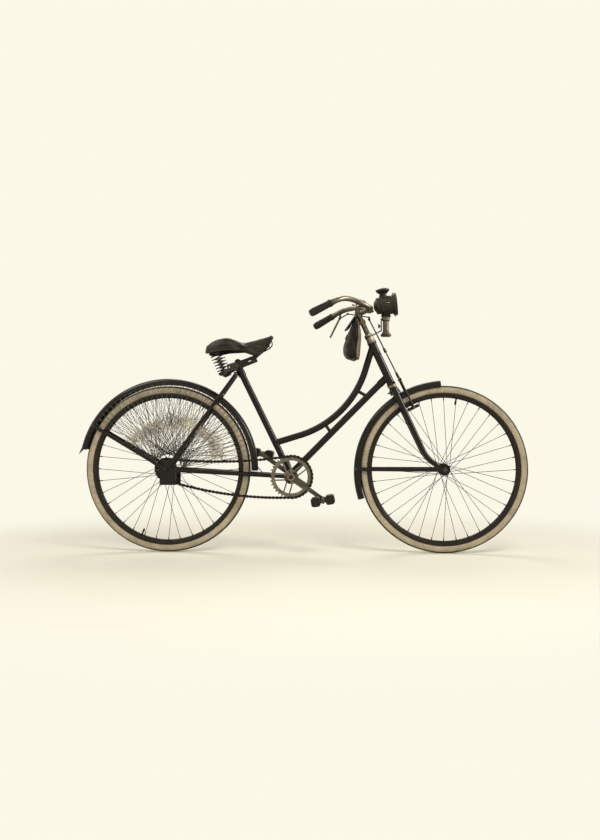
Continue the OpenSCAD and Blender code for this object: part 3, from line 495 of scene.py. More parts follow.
NODE_FINISH = {
    "stove_enamel": (
        "head_tube", "loop_tube", "down_tube", "tube_struts", "seat_tube", "bottom_bracket",
        "chain_stays", "seat_stays", "rear_fork_ends", "rear_mudguard", "rear_mudguard_stays",
        "fork_crown", "fork_blades", "front_mudguard", "front_mudguard_stays", "front_hub", "rear_hub",
    ),
    "rim_enamel": ("front_rim", "rear_rim"),
    "nickel_plate": ("stem", "handlebar", "bell", "brake_lever", "lamp_container"),
    "rubbed_nickel": ("head_cups", "headset_nuts"),
    "ring_nickel": ("chainring",),
    "crank_nickel": ("crank_right", "crank_left"),
    "lamp_nickel": ("lamp_body", "lamp_bracket"),
    "dark_steel": (
        "brake_rods", "brake_stirrup", "rear_axle", "seat_post", "saddle_frame", "saddle_springs",
        "rear_sprocket", "pedal_right", "pedal_left", "front_spokes", "rear_spokes",
    ),
    "dull_steel": ("front_axle", "crank_axle"),
    "chain_steel": ("chain",),
    "worn_rubber": ("grips", "brake_shoes", "pedal_right_blocks", "pedal_left_blocks"),
    "lamp_glass": ("lamp_glass",),
    "twine": ("dress_guard_right", "dress_guard_left"),
    "saddle_hide": ("saddle",),
    "bag_hide": ("tool_bag",),
    "tyre_wall": ("front_tyre", "rear_tyre"),
}


class ROADSTER_OT_finishes(bpy.types.Operator):
    """Makes every finish and gives each carried-over node its own"""
    bl_idname = "roadster.finishes"
    bl_label = "Finishes"

    def execute(self, context):
        c = colours()
        rust = tuple(c.rust)
        make_enamel("stove_enamel", tuple(c.enamel), rust, 0.0)
        make_enamel("rim_enamel", shade(c.enamel, 1.5), rust, 0.03)
        # On the metals the rust argument colours both the tarnish and the painted shade on their
        # undersides.
        make_metal("nickel_plate", tuple(c.nickel), shade(rust, 0.3), 0.15, 0.27, 0.2, 30)
        make_metal("rubbed_nickel", shade(c.nickel, 1.9), shade(rust, 0.8), 0.08, 0.34, 0.2, 40)
        make_metal("ring_nickel", shade(c.nickel, 1.2), shade(rust, 0.3), 0.12, 0.26, 0.3, 40)
        make_metal("crank_nickel", shade(c.nickel, 0.85), shade(rust, 0.25), 0.2, 0.26, 0.3, 24)
        make_metal("lamp_nickel", shade(c.nickel, 0.6), shade(rust, 0.1), 0.27, 0.2, 0.3, 40)
        make_metal("dull_steel", tuple(c.steel), shade(rust, 0.7), 0.16, 0.4, 0.2)
        make_metal("dark_steel", shade(c.steel, 0.5), shade(c.steel, 0.22), 0.2, 0.38, 0.4, 30)
        make_metal("chain_steel", shade(c.steel, 0.4), shade(c.steel, 0.16), 0.2, 0.4, 1.0, 60)
        make_rubber("worn_rubber", tuple(c.rubber), shade(c.rubber, 2.6), 0.36, 18)
        make_rubber("tread", tuple(c.tread), shade(c.tyre_wall, 0.3), 0.8, 24)
        make_tyre_wall("tyre_wall", tuple(c.tyre_wall))
        make_leather("saddle_hide", tuple(c.saddle), shade(c.saddle, 2.2), 0.32, 700, 1.0)
        make_leather("bag_hide", tuple(c.bag), shade(c.bag, 2.6), 0.36, 620)
        # Paler leather for the closing strap, and for the painted highlight down the back of the tool
        # bag.
        make_leather("panel_leather", shade(c.bag, 3.4), shade(c.bag, 7), 0.42, 640)
        make_leather("strap_leather", tuple(c.strap), shade(c.strap, 1.4), 0.5, 760)
        make_twine("twine", tuple(c.twine))
        make_twine("pale_twine", shade(c.twine, 7))
        make_glass("lamp_glass", (0.93, 0.92, 0.86))
        make_glass("jewel_glass", (0.32, 0.22, 0.1))
        make_rubber("soot", shade(c.rubber, 0.5), shade(c.rubber, 1.6), 0.85, 40)
        for finish, nodes in NODE_FINISH.items():
            for node in nodes:
                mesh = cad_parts[node].data
                mesh.materials.clear()
                mesh.materials.append(bpy.data.materials[finish])
        return {"FINISHED"}


class ROADSTER_OT_stage(bpy.types.Operator):
    """Makes the floor, the backdrop light, the lamps and the camera"""
    bl_idname = "roadster.stage"
    bl_label = "Stage"

    def execute(self, context):
        scene = context.scene
        scene.view_settings.view_transform = "Standard"
        self.make_world(scene, tuple(colours().paper))
        self.make_floor(scene, tuple(colours().paper))
        aim = place((567, 0, 210))
        for name, spot, energy, size, mirrored in (
            ("key_lamp", (1900, -2500, 2600), 76, 1.6, False),
            ("fill_lamp", (-1500, -2900, 900), 26, 2.2, False),
            ("back_lamp", (300, 2200, 2600), 41, 1.8, True),
            ("right_gleam", (3750, -350, 1900), 150, 1.5, True),
            ("left_gleam", (-1350, -100, 2750), 40, 1.4, True),
        ):
            lamp = bpy.data.lights.new(name, "AREA")
            lamp.energy = energy
            lamp.size = size
            lamp.color = (1.0, 0.97, 0.9)
            held = bpy.data.objects.new(name, lamp)
            held.visible_glossy = mirrored
            held.visible_diffuse = not name.endswith("gleam")
            self.set_up(scene, held, place(spot), aim)
        view = bpy.data.cameras.new("photo_view")
        view.lens = sizes().lens
        camera = bpy.data.objects.new("photo_view", view)
        self.set_up(scene, camera, place((759, -4100, 197)), aim)
        scene.camera = camera
        return {"FINISHED"}

    def set_up(self, scene, obj, spot, aim):
        scene.collection.objects.link(obj)
        obj.location = spot
        obj.rotation_euler = (aim - spot).to_track_quat("-Z", "Y").to_euler()

    def make_world(self, scene, paper):
        """Cream backdrop for what the camera, metal and glass see, and an even light."""
        world = bpy.data.worlds.new("studio")
        world.use_nodes = True
        tree = world.node_tree
        lit = tree.nodes["Background"]
        feed(tree, lit.inputs["Color"], (1.0, 0.98, 0.93))
        feed(tree, lit.inputs["Strength"], 0.5)
        seen = add_node(tree, "ShaderNodeBackground", {"Color": paper})
        path = add_node(tree, "ShaderNodeLightPath")
        total = path.outputs["Is Camera Ray"]
        for ray in ("Is Glossy Ray", "Is Transmission Ray"):
            feeds = {0: total, 1: path.outputs[ray]}
            total = add_node(tree, "ShaderNodeMath", feeds, operation="MAXIMUM").outputs[0]
        mix = add_node(tree, "ShaderNodeMixShader", {0: total, 1: lit.outputs[0], 2: seen.outputs[0]})
        feed(tree, tree.nodes["World Output"].inputs["Surface"], mix.outputs[0])
        scene.world = world

    def make_floor(self, scene, paper):
        """Disc that takes the shadow and fades into the backdrop at its edge."""
        radius = 4.0
        steps = 96
        x_way, y_way = Vector((1, 0, 0)), Vector((0, 1, 0))
        points = [(0, 0, 0)] + [radius * around(k / steps, x_way, y_way) for k in range(steps)]
        faces = [[0, 1 + k, 1 + (k + 1) % steps] for k in range(steps)]
        mesh = bpy.data.meshes.new("floor")
        mesh.from_pydata(points, [], faces)
        floor = bpy.data.objects.new("floor", mesh)
        middle_x = (CAD_BOX[0][0] + CAD_BOX[1][0]) / 2
        floor.location = (middle_x, 0, GROUND)
        scene.collection.objects.link(floor)
        material = bpy.data.materials.new("pale_floor")
        material.use_nodes = True
        tree = material.node_tree
        matt = tree.nodes["Principled BSDF"]
        feed(tree, matt.inputs["Roughness"], 0.95)
        feed(tree, matt.inputs["Specular IOR Level"], 0.0)
        feed(tree, matt.inputs["Base Color"], shade(paper, 0.9))
        clear = add_node(tree, "ShaderNodeBsdfTransparent")
        where = add_node(tree, "ShaderNodeTexCoord")
        far = add_node(tree, "ShaderNodeVectorMath", {0: where.outputs["Object"]}, operation="LENGTH")
        fade = add_node(tree, "ShaderNodeMapRange", {
            "From Min": 0.9, "From Max": 2.2, "Value": far.outputs["Value"],
        }, interpolation_type="SMOOTHSTEP")
        mix = add_node(tree, "ShaderNodeMixShader", {
            0: fade.outputs["Result"], 1: matt.outputs[0], 2: clear.outputs[0],
        })
        feed(tree, tree.nodes["Material Output"].inputs["Surface"], mix.outputs[0])
        mesh.materials.append(material)


TYRE_R = 355.5
RIM_R = 324.0
RIM_IN = 304.0
SPOKES = 36
# Half angles round a tyre's section to its bead and to the edge of its tread
BEAD_DEG = 137
TREAD_DEG = 52
# Name, axle, body, radius of the spoke holes, Y of the flanges, and where the valve is
WHEELS = (
    ("front", FRONT_AT, "front_wheel", 21.8, 33.0, 80),
    ("rear", Vector((0, 0, 0)), "rear_wheel", 27.5, 32.0, 248),
)


class ROADSTER_OT_tyres(bpy.types.Operator):
    """Makes both tyres, with pale walls and a ribbed dark tread"""
    bl_idname = "roadster.tyres"
    bl_label = "Tyres"

    def execute(self, context):
        r = sizes().tyre_section * 500
        depth = sizes().tread_depth * 1000
        profile = self.section(r, depth)
        n = len(profile)
        tones = [int(profile[k][3] and profile[(k + 1) % n][3]) for k in range(n)]
        steps = 288
        for name, at, body, *_ in WHEELS:
            shape = Shape()
            rings = []
            for i in range(steps):
                notch = depth * 0.8 if i % 3 == 0 else 0.0
                rings.append([
                    at + polar(radius - (notch if shoulder else 0), 360 * i / steps, y)
                    for radius, y, shoulder, _ in profile
                ])
            shape.loft(rings, closed=True)
            shape.slots = tones * steps
            piece(f"{name}_tyre_treaded", shape, ("tyre_wall", "tread"), body,
                  (f"{name}_tyre",), sharp=50)
        return {"FINISHED"}

    def section(self, r, depth):
        """Rows of radius, Y, whether notched, whether dark; round the section."""
        centre = TYRE_R - r
        rows = []
        for deg in range(-BEAD_DEG, BEAD_DEG + 1, 4):
            a = math.radians(deg)
            s = r
            tread = abs(deg) <= TREAD_DEG
            if tread and abs(abs(deg) % 14 - 7) <= 1.5:
                s -= depth
            if abs(deg) in (65, 69, 113):
                s -= 0.35
            rows.append((centre + s * math.cos(a), s * math.sin(a), 34 <= abs(deg) <= 50, tread))
        low = RIM_R + 0.15
        rows[0] = (low, rows[0][1], False, False)
        rows[-1] = (low, rows[-1][1], False, False)
        return rows


def lacing(hole_r, flange_y):
    """Both ends of each spoke, the hub flange and the rim, and the side its head is on."""
    n = SPOKES // 2
    turn = 360 / n
    out = []
    for side in (-1, 1):
        for k in range(n):
            lay = 1 if k % 2 == 0 else -1
            rim_deg = (k + (0.5 if side > 0 else 0)) * turn
            hub_deg = rim_deg - lay * 3 * turn
            out.append((
                polar(hole_r, hub_deg, side * (flange_y + lay * 3.4)),
                polar(RIM_IN - 0.6, rim_deg, side * 5.5), side * lay,
            ))
    return out


class ROADSTER_OT_wheel_fittings(bpy.types.Operator):
    """Makes spoke nipples, spoke heads and valves"""
    bl_idname = "roadster.wheel_fittings"
    bl_label = "Wheel fittings"

    def execute(self, context):
        for name, at, body, hole_r, flange_y, valve in WHEELS:
            shape = Shape()
            for hub, rim, lay in lacing(hole_r, flange_y):
                along = (hub - rim).normalized()
                shape.lathe(
                    [(2.9, -0.4), (2.9, 0.8), (2.1, 1.4), (2.0, 10.5), (1.5, 11.5)],
                    at + rim, along, 8)
                out = Vector((0, math.copysign(1, lay), 0))
                shape.lathe([(1.1, -2.6), (1.1, 1.0), (2.1, 1.2), (1.7, 2.2), (0.3, 2.6)],
                            at + hub, out, 8)
            stem = polar(1, valve)
            shape.lathe(
                [(4.6, 0), (4.6, 2.4), (3.6, 2.6), (3.4, 11), (4.4, 11.2), (4.4, 24), (3.0, 27),
                 (0.4, 27.4)],
                at + stem * (RIM_IN + 1.0), -stem, 14)
            piece(f"{name}_nipples_and_valve", shape, ("dark_steel",), body)
        return {"FINISHED"}


PITCH = 15.875
RING_TEETH = 35
SPROCKET_TEETH = 18
RING_R = PITCH / (2 * math.sin(math.pi / RING_TEETH))
COG_R = PITCH / (2 * math.sin(math.pi / SPROCKET_TEETH))
CHAIN_Y = -47.0
CHAIN_TOP_SAG = 18.0
CHAIN_SAG = 22.0
PLATE_END_R = 6.4
PLATE_WAIST = 3.7
ROLLER_R = 4.4
# How far the teeth and the wrapped links reach past the pitch circles
TEETH_REACH = 9
CRANK_MID = Vector((CRANK_AT.x, 0, CRANK_AT.z))


def chain_pins():
    """Pin centres round the chain, as X and Z, in four runs end to end."""
    ring, cog, crank = RING_R, COG_R, CRANK_MID
    far = CRANK_AT.length
    lean = math.degrees(math.atan2(CRANK_AT.z, CRANK_AT.x))
    wrap = math.degrees(math.asin((ring - cog) / far))
    top, low = 90 + lean + wrap, -90 + lean - wrap

    def line(p, q, sag):
        n = round((q - p).length / PITCH)
        return [p.lerp(q, i / n) - Vector((0, 0, 4 * sag * i / n * (1 - i / n))) for i in range(n)]

    def arc(c, r, a0, a1):
        n = round(math.radians(abs(a1 - a0)) * r / PITCH)
        return [c + polar(r, a0 + (a1 - a0) * i / n) for i in range(n)]

    hub = Vector((0, 0, 0))
    return (line(polar(cog, top), crank + polar(ring, top), CHAIN_TOP_SAG)
            + arc(crank, ring, top, low)
            + line(crank + polar(ring, low), polar(cog, low), CHAIN_SAG)
            + arc(hub, cog, low, top - 360))


def over_teeth(pin):
    """True on the ring and the cog, whose teeth turn inside the fixed chain."""
    return pin.length < COG_R + TEETH_REACH or (pin - CRANK_MID).length < RING_R + TEETH_REACH


class ROADSTER_OT_chain(bpy.types.Operator):
    """Makes the roller chain, link by link"""
    bl_idname = "roadster.chain"
    bl_label = "Chain"

    def execute(self, context):
        shape = Shape()
        pins = chain_pins()
        count = len(pins)
        for i, a in enumerate(pins):
            b = pins[(i + 1) % count]
            inner = i % 2 == 0
            for side in (-1, 1):
                y0, y1 = (2.35, 3.25) if inner else (3.35, 4.25)
                self.link(shape, a, b, CHAIN_Y + side * y0, CHAIN_Y + side * y1)
            at = Vector((a.x, CHAIN_Y, a.z))
            if not over_teeth(a):
                shape.lathe([(ROLLER_R, -2.3), (ROLLER_R, 2.3)], at, (0, 1, 0), 10)
            for side in (-1, 1):
                shape.lathe([(2.0, 4.2), (2.0, 4.5), (1.2, 4.9), (0.1, 5.0)], at, (0, side, 0), 8)
        piece("chain_links", shape, ("chain_steel",), "frame", ("chain",), sharp=35)
        return {"FINISHED"}

    def link(self, shape, a, b, y0, y1):
        """Waisted side plate from pin a to pin b."""
        along = (b - a).normalized()
        up = Vector((-along.z, 0, along.x))
        outline = []
        for end, sign in ((b, 1), (a, -1)):
            for k in range(7):
                turns = (-100 + 200 * k / 6) / 360
                outline.append(end + sign * PLATE_END_R * around(turns, along, up))
            outline.append((a + b) / 2 + sign * PLATE_WAIST * up)
        rings = [[Vector((p.x, y, p.z)) for p in outline] for y in (y0, y1)]
        shape.loft(rings)


HOOP_R = 64.0
HOOP_Y = 40.5
GUARD_EDGE_R = 364.0
GUARD_EDGE_Y = 27.2
NET_SPAN = (9.0, 148.0)
# Degrees that a string turns from its hole to the hoop, and how much that varies
LACE_TURN = (58, 7)
BAND_THREADS = 7
FRAYED_ENDS = 270


class ROADSTER_OT_dress_guards(bpy.types.Operator):
    """Makes the two laced dress guards, their hoops and hooks"""
    bl_idname = "roadster.dress_guards"
    bl_label = "Dress guards"

    def execute(self, context):
        for name, side, seed in (("right", -1, 11), ("left", 1, 23)):
            dice = random.Random(seed)
            strings = Shape()
            self.lace(strings, side, dice)
            self.tangle(strings, side, dice)
            piece(f"net_{name}", strings, ("twine", "pale_twine"), "frame",
                  (f"dress_guard_{name}",), sharp=180)
            self.hooks(name, side)
        return {"FINISHED"}

    def lace(self, shape, side, dice):
        """Two strings from each hole in the guard, crossing their neighbours."""
        holes = sizes().net_holes
        radius = sizes().twine_radius * 1000
        low, high = NET_SPAN
        for i in range(holes):
            out = low + (high - low) * i / (holes - 1)
            for lay in (-1, 1):
                hub = out + lay * dice.gauss(*LACE_TURN)
                hub = min(high + 2, max(low - 1, hub))
                start = polar(HOOP_R + 1.0, hub + dice.uniform(-1, 1), side * (HOOP_Y - 1.5 - lay))
                end = polar(GUARD_EDGE_R + dice.uniform(0, 4), out, side * (GUARD_EDGE_Y + lay))
                bow = dice.gauss(0, 3.0)
                sway = dice.gauss(0, 1.2)
                path = []
                steps = 12
                for k in range(steps + 1):
                    t = k / steps
                    p = start.lerp(end, t)
                    across = Vector((-p.z, 0, p.x)).normalized()
                    wave = bow * math.sin(math.pi * t) + sway * math.sin(3 * math.pi * t + i)
                    belly = 1.4 * math.sin(math.pi * t)
                    path.append(p + across * wave + sideways(side * belly))
                shape.tube(path, radius * dice.uniform(0.8, 1.15), 5)

    def tangle(self, shape, side, dice):
        """Pale frayed threads that have gathered in a band round the fan."""
        radius = sizes().twine_radius * 1000
        low, high = NET_SPAN

        def at(r, deg, lift):
            share = (r - HOOP_R) / (GUARD_EDGE_R - HOOP_R)
            return polar(r, deg, side * (HOOP_Y - 0.1 + (GUARD_EDGE_Y + 1.5 - HOOP_Y) * share + lift))

        for i in range(BAND_THREADS):
            slow, fast = dice.uniform(0, 6), dice.uniform(0, 6)
            path = []
            for k in range(97):
                deg = low + 3 + (high - low - 6) * k / 96
                r = (188 + 6 * i + 13 * math.sin(math.radians(deg * 2.3))
                     + 7 * math.sin(deg * 0.23 + slow) + 4 * math.sin(deg * 0.71 + fast))
                path.append(at(r, deg, 0.9 * math.sin(deg * 0.9 + i)))
            shape.tube(path, radius * dice.uniform(0.7, 1.0), 4, slot=1)
        for i in range(FRAYED_ENDS):
            deg = dice.uniform(low + 3, high - 2)
            r = 205 + 20 * math.sin(math.radians(deg * 2.3)) + dice.gauss(0, 18)
            span = dice.uniform(4, 11) * (1 if dice.random() > 0.5 else -1)
            lift = dice.gauss(0, 14)
            path = []
            for k in range(8):
                t = k / 7
                reach = r + lift * t + 5 * math.sin(t * 7 + i)
                path.append(at(reach, deg + span * t, 0.8 * math.sin(9 * t + i)))
            shape.tube(path, radius * dice.uniform(0.6, 1.0), 4, slot=0 if i % 4 == 0 else 1)

    def hooks(self, name, side):
        """Bent wire hoop round the hub and its two stand-offs."""
        shape = Shape()
        shape.tube([polar(HOOP_R, 8 + 146 * k / 60, side * HOOP_Y) for k in range(61)], 1.5, 8)
        for deg, y in ((54, 51.4), (150, 58.8)):
            foot = polar(HOOP_R, deg)
            shape.lathe([(3.4, 0), (3.4, 3), (2.0, 4), (2.0, y - HOOP_Y + 1)],
                        foot + sideways(side * (HOOP_Y - 1.6)), (0, side, 0), 12)
        piece(f"net_hoop_{name}", shape, ("dull_steel",), "frame")


# Cover stations from the seat point: along X, crown height, ridge half width and height, edge half
# width and height, and how far the ridge stands proud
SADDLE_ROWS = (
    (-88, -46, 44, -50, 58, -62, 0), (-78, -27, 64, -38, 84, -68, 0), (-50, -8, 78, -20, 104, -65, 0),
    (-10, 2, 82, -8, 104, -57, 0), (15, 1, 82, -8, 98, -55, 1), (41, -8, 76, -17, 84, -55, 4),
    (70, -17, 63, -33, 57, -57, 7), (93, -12, 51, -48, 44, -65, 7), (126, -4, 40, -64, 37, -73, 4),
    (152, 3, 25, -34, 29, -57, 0), (180, 10, 18, -4, 24, -24, 0), (192, 13, 10, 8, 15, -3, 0),
    (197, 7, 5, 5, 8, 1, 0),
)


class ROADSTER_OT_saddle(bpy.types.Operator):
    """Makes the leather saddle cover with its ridged wings, rolled edge and rivets"""
    bl_idname = "roadster.saddle"
    bl_label = "Saddle"

    def execute(self, context):
        skin = sizes().leather * 1000
        rings = [self.section(row, skin) for row in smooth_rows(SADDLE_ROWS, 5)]
        n = len(rings[0])
        m = n // 2 - 1
        shape = Shape()
        shape.loft(rings, caps=False)
        last = (len(rings) - 1) * n
        for k in range(m):
            shape.faces.append([k, k + 1, n - 2 - k, n - 1 - k])
            shape.faces.append([last + n - 1 - k, last + n - 2 - k, last + k + 1, last + k])
        shape.slots += [0] * (2 * m)
        piece("saddle_cover", shape, ("saddle_hide",), "frame", ("saddle",),
              sharp=60, split=1)
        self.rivets(rings)
        self.nose_loop()
        return {"FINISHED"}

    def section(self, row, skin):
        """One station: the outside from edge to edge, then back along the inside."""
        x, top, ridge_y, ridge_z, edge_y, edge_z, proud = row
        fall, drop = top - ridge_z, ridge_z - edge_z
        half = smooth_rows((
            (0, top), (0.5 * ridge_y, top - 0.13 * fall),
            (0.86 * ridge_y - 0.5 * proud, top - 0.56 * fall),
            (ridge_y + 0.4 * proud, ridge_z + 0.3 * proud),
            (ridge_y + (0.62 - 0.06 * proud) * (edge_y - ridge_y), ridge_z - 0.42 * drop),
            (edge_y, edge_z),
        ), 4)
        line = [Vector((-y, z)) for y, z in half[:0:-1]] + [Vector(p) for p in half]
        m = len(line) - 1
        thick = skin * min(1.0, (top - edge_z) / 14)
        outer, inner = [], []
        for k, p in enumerate(line):
            along = (line[min(k + 1, m)] - line[max(k - 1, 0)]).normalized()
            out = Vector((-along.y, along.x))
            down = abs(2 * k / m - 1)
            crease = 1.1 * math.sin(41 * down + 0.03 * x) * max(0.0, down - 0.55) * min(1.0, drop / 25)
            crease += 0.5 * math.sin(0.19 * x + 6 * down) * (1 - down) * min(1.0, fall / 8)
            for side, q in ((outer, p + crease * out), (inner, p + (crease - thick) * out)):
                side.append(SEAT_AT + Vector((x, q.x, q.y)))
        return outer + inner[::-1]

    def rivets(self, rings):
        """Domed rivets round the cantle and at the nose."""
        shape = Shape()
        for ring, places in ((4, (5, 11, 16, 20, 24, 29, 35)), (len(rings) - 9, (12, 20, 28))):
            for k in places:
                p = rings[ring][k]
                ahead, behind = rings[ring + 1][k], rings[ring - 1][k]
                inside = (ahead + behind) / 2
                out = (rings[ring][k + 1] - rings[ring][k - 1]).cross(ahead - behind)
                if out.dot(p - SEAT_AT - Vector((p.x - SEAT_AT.x, 0, -60))) < 0:
                    out = -out
                shape.lathe([(5.0, -1.5), (5.0, 0.5), (4.2, 1.5), (2.4, 2.2), (0.2, 2.4)],
                            inside.lerp(p, 0.5), out, 14)
        piece("saddle_rivets", shape, ("dark_steel",), "frame")

    def nose_loop(self):
        """Bent wire under the nose that tensions the cover."""
        shape = Shape()
        rows = smooth_rows((
            (150, 10, -57), (162, 9, -52), (182, 8, -40), (192, 7, -28), (191, 6, -13), (186, 5, 2),
        ), 6)
        for side in (-1, 1):
            shape.tube([SEAT_AT + Vector((x, side * y, z)) for x, y, z in rows], 2.0, 8)
        for x, z, r in ((182, -40, 2.6), (176, -30, 3.4)):
            shape.lathe([(r, -11), (r, 11)], SEAT_AT + Vector((x, 0, z)), (0, 1, 0), 12)
        piece("saddle_nose_loop", shape, ("dull_steel",), "frame")


# Pouch rows: height, back, front and half width from the bag's middle
BAG_ROWS = (
    (91, 8, 18, 30), (80, 7, 23, 40), (60, 3, 33, 48), (34, -8, 39, 54), (0, -19, 42, 58),
    (-30, -30, 40, 61), (-52, -33, 38, 62), (-74, -30, 36, 62), (-90, -16, 31, 56), (-96, 0, 20, 40),
)
# Flap rows from the stem to its tip: X and height of its face, the same of its lining, half width
FLAP_ROWS = (
    (24, 92, 20, 88, 34), (14, 90, 12, 82, 40), (4, 78, 7, 72, 46), (-8, 60, 1, 60, 48),
    (-19, 44, -4, 50, 48), (-30, 28, -9, 41, 44),
)


def ribbon(shape, path, half, thick, slot=0):
    """Flat leather band along a path, its half width along Y."""
    path = [Vector(p) for p in path]
    rings = []
    for i, p in enumerate(path):
        along = (path[min(i + 1, len(path) - 1)] - path[max(i - 1, 0)]).normalized()
        out = Vector((-along.z, 0, along.x))
        under = [(-half + 1, -thick / 2), (-half / 3, -thick / 2), (half / 3, -thick / 2),
                 (half - 1, -thick / 2)]
        over = [(y, -h) for y, h in under[::-1]]
        outline = [(-half, 0), *under, (half, 0), *over]
        rings.append([p + sideways(y) + h * out for y, h in outline])
    shape.loft(rings, slot=slot)


class ROADSTER_OT_tool_bag(bpy.types.Operator):
    """Makes the sagging leather tool bag with its flap, straps and buckle"""
    bl_idname = "roadster.tool_bag"
    bl_label = "Tool bag"

    def execute(self, context):
        rows = smooth_rows(BAG_ROWS, 4)
        self.pouch(rows)
        self.flap()
        self.straps(rows)
        return {"FINISHED"}

    def outline(self, row, t):
        """Point of the pouch at one height, t turns from the front."""
        z, back, front, half = row
        c, s = math.cos(t), math.sin(t)
        x = math.copysign(abs(c) ** 0.8, c)
        y = math.copysign(abs(s) ** 0.62, s)
        fold = 1.6 * math.sin(z * 0.11 + 5 * c) * abs(s) + 1.1 * math.sin(z * 0.05 + 9 * t)
        sag = 1.5 * math.sin(3 * t) if z < -70 else 0.0
        return BAG_AT + Vector((
            (back + front) / 2 + (front - back) / 2 * x + 0.6 * fold * c, half * y + fold * s, z + sag))

    def pouch(self, rows):
        """Dark body with a pale panel let into its front, a painted highlight down its back in paler
        leather, and piping.
        """
        shape = Shape()
        steps = 44
        pale = 8
        # Painted highlight: the band down the back of the pouch takes the paler leather.
        worn = range(steps // 2 - 7, steps // 2 + 7)
        rings = [[self.outline(row, math.tau * k / steps) for k in range(steps)] for row in rows]
        tones = [1 if k < pale or k >= steps - pale else 2 if k in worn else 0 for k in range(steps)]
        shape.loft(rings)
        shape.slots = tones * (len(rings) - 1) + [0, 0]
        piece("tool_bag_pouch", shape, ("bag_hide", "strap_leather", "panel_leather"), "steering",
              ("tool_bag",), sharp=60, split=1)
        piping = Shape()
        for k in (pale, steps - pale):
            piping.tube([ring[k] for ring in rings], 2.0, 7)
        piping.tube([p.lerp(BAG_AT, -0.004) for p in rings[-5]], 1.4, 6, closed=True)
        piece("tool_bag_piping", piping, ("bag_hide",), "steering")

    def flap(self):
        """Cover over the mouth: a stiff padded tongue that stands off at its tip."""
        shape = Shape()
        across = (-1, -0.93, -0.6, -0.2, 0.2, 0.6, 0.93, 1)
        rings = []
        for x, z, inner_x, inner_z, half in smooth_rows(FLAP_ROWS, 4):
            face, lining = Vector((x, 0, z)), Vector((inner_x, 0, inner_z))
            outside = [face.lerp(lining, 0.48 * abs(t) ** 8) + sideways(t * half) for t in across]
            inside = [lining.lerp(face, 0.42 * abs(t) ** 8) + sideways(t * half) for t in across]
            rings.append([BAG_AT + p for p in outside + inside[::-1]])
        shape.loft(rings)
        piece("tool_bag_flap", shape, ("bag_hide",), "steering", sharp=60, split=1)

    def straps(self, rows):
        """Closing strap with its buckle, over flap and back, and the strap round the stem."""
        leather, metal = Shape(), Shape()
        over = smooth_rows(FLAP_ROWS[1:], 4)[2:-1]
        front = [BAG_AT + Vector((row[0] - 0.9, 0, row[1] + 0.9)) for row in over]
        back = [BAG_AT + Vector((row[1] - 1.4, 0, row[0])) for row in rows[13:34]]
        ribbon(leather, front, 8.5, 2.4, 1)
        ribbon(leather, back, 8.5, 2.2, 1)
        stem = steered(0, 0, 714)
        loop = [stem + 13.2 * around(k / 36, STEER_FORE, sideways(1)) for k in range(36)]
        for up in (-5, 0, 5):
            leather.tube([p + up * STEER_UP for p in loop], 2.6, 8, closed=True)
        tie = [BAG_AT + Vector((12, 0, 90)), BAG_AT + Vector((20, 0, 92)), stem - 13 * STEER_FORE]
        ribbon(leather, tie, 10, 3)
        piece("tool_bag_straps", leather, ("strap_leather", "panel_leather"), "steering",
              sharp=60)
        centre = BAG_AT + Vector((-22, 0, 4))
        frame_path = [
            centre + Vector((0.34 * v, u, v))
            for u, v in ((-12, -9), (0, -9), (12, -9), (12, 0), (12, 9), (0, 9), (-12, 9), (-12, 0))
        ]
        metal.tube(frame_path, 1.5, 8, closed=True)
        metal.tube([centre + Vector((2, 0, 9)), centre + Vector((-5.5, 0, -10))], 1.2, 8)
        piece("tool_bag_buckle", metal, ("nickel_plate",), "steering")


LAMP_AT = Vector((steered(0, 0, 617).x + 60, 0, steered(0, 0, 617).z + 26))
LAMP_LEAN = math.radians(6)
LAMP_FORE = Vector((math.cos(LAMP_LEAN), 0, math.sin(LAMP_LEAN)))
LAMP_UP = Vector((-math.sin(LAMP_LEAN), 0, math.cos(LAMP_LEAN)))


def on_lamp(fore, left, up):
    """Point of the lamp's head, which leans back."""
    return LAMP_AT + Vector((0, left, 134)) + fore * LAMP_FORE + up * LAMP_UP


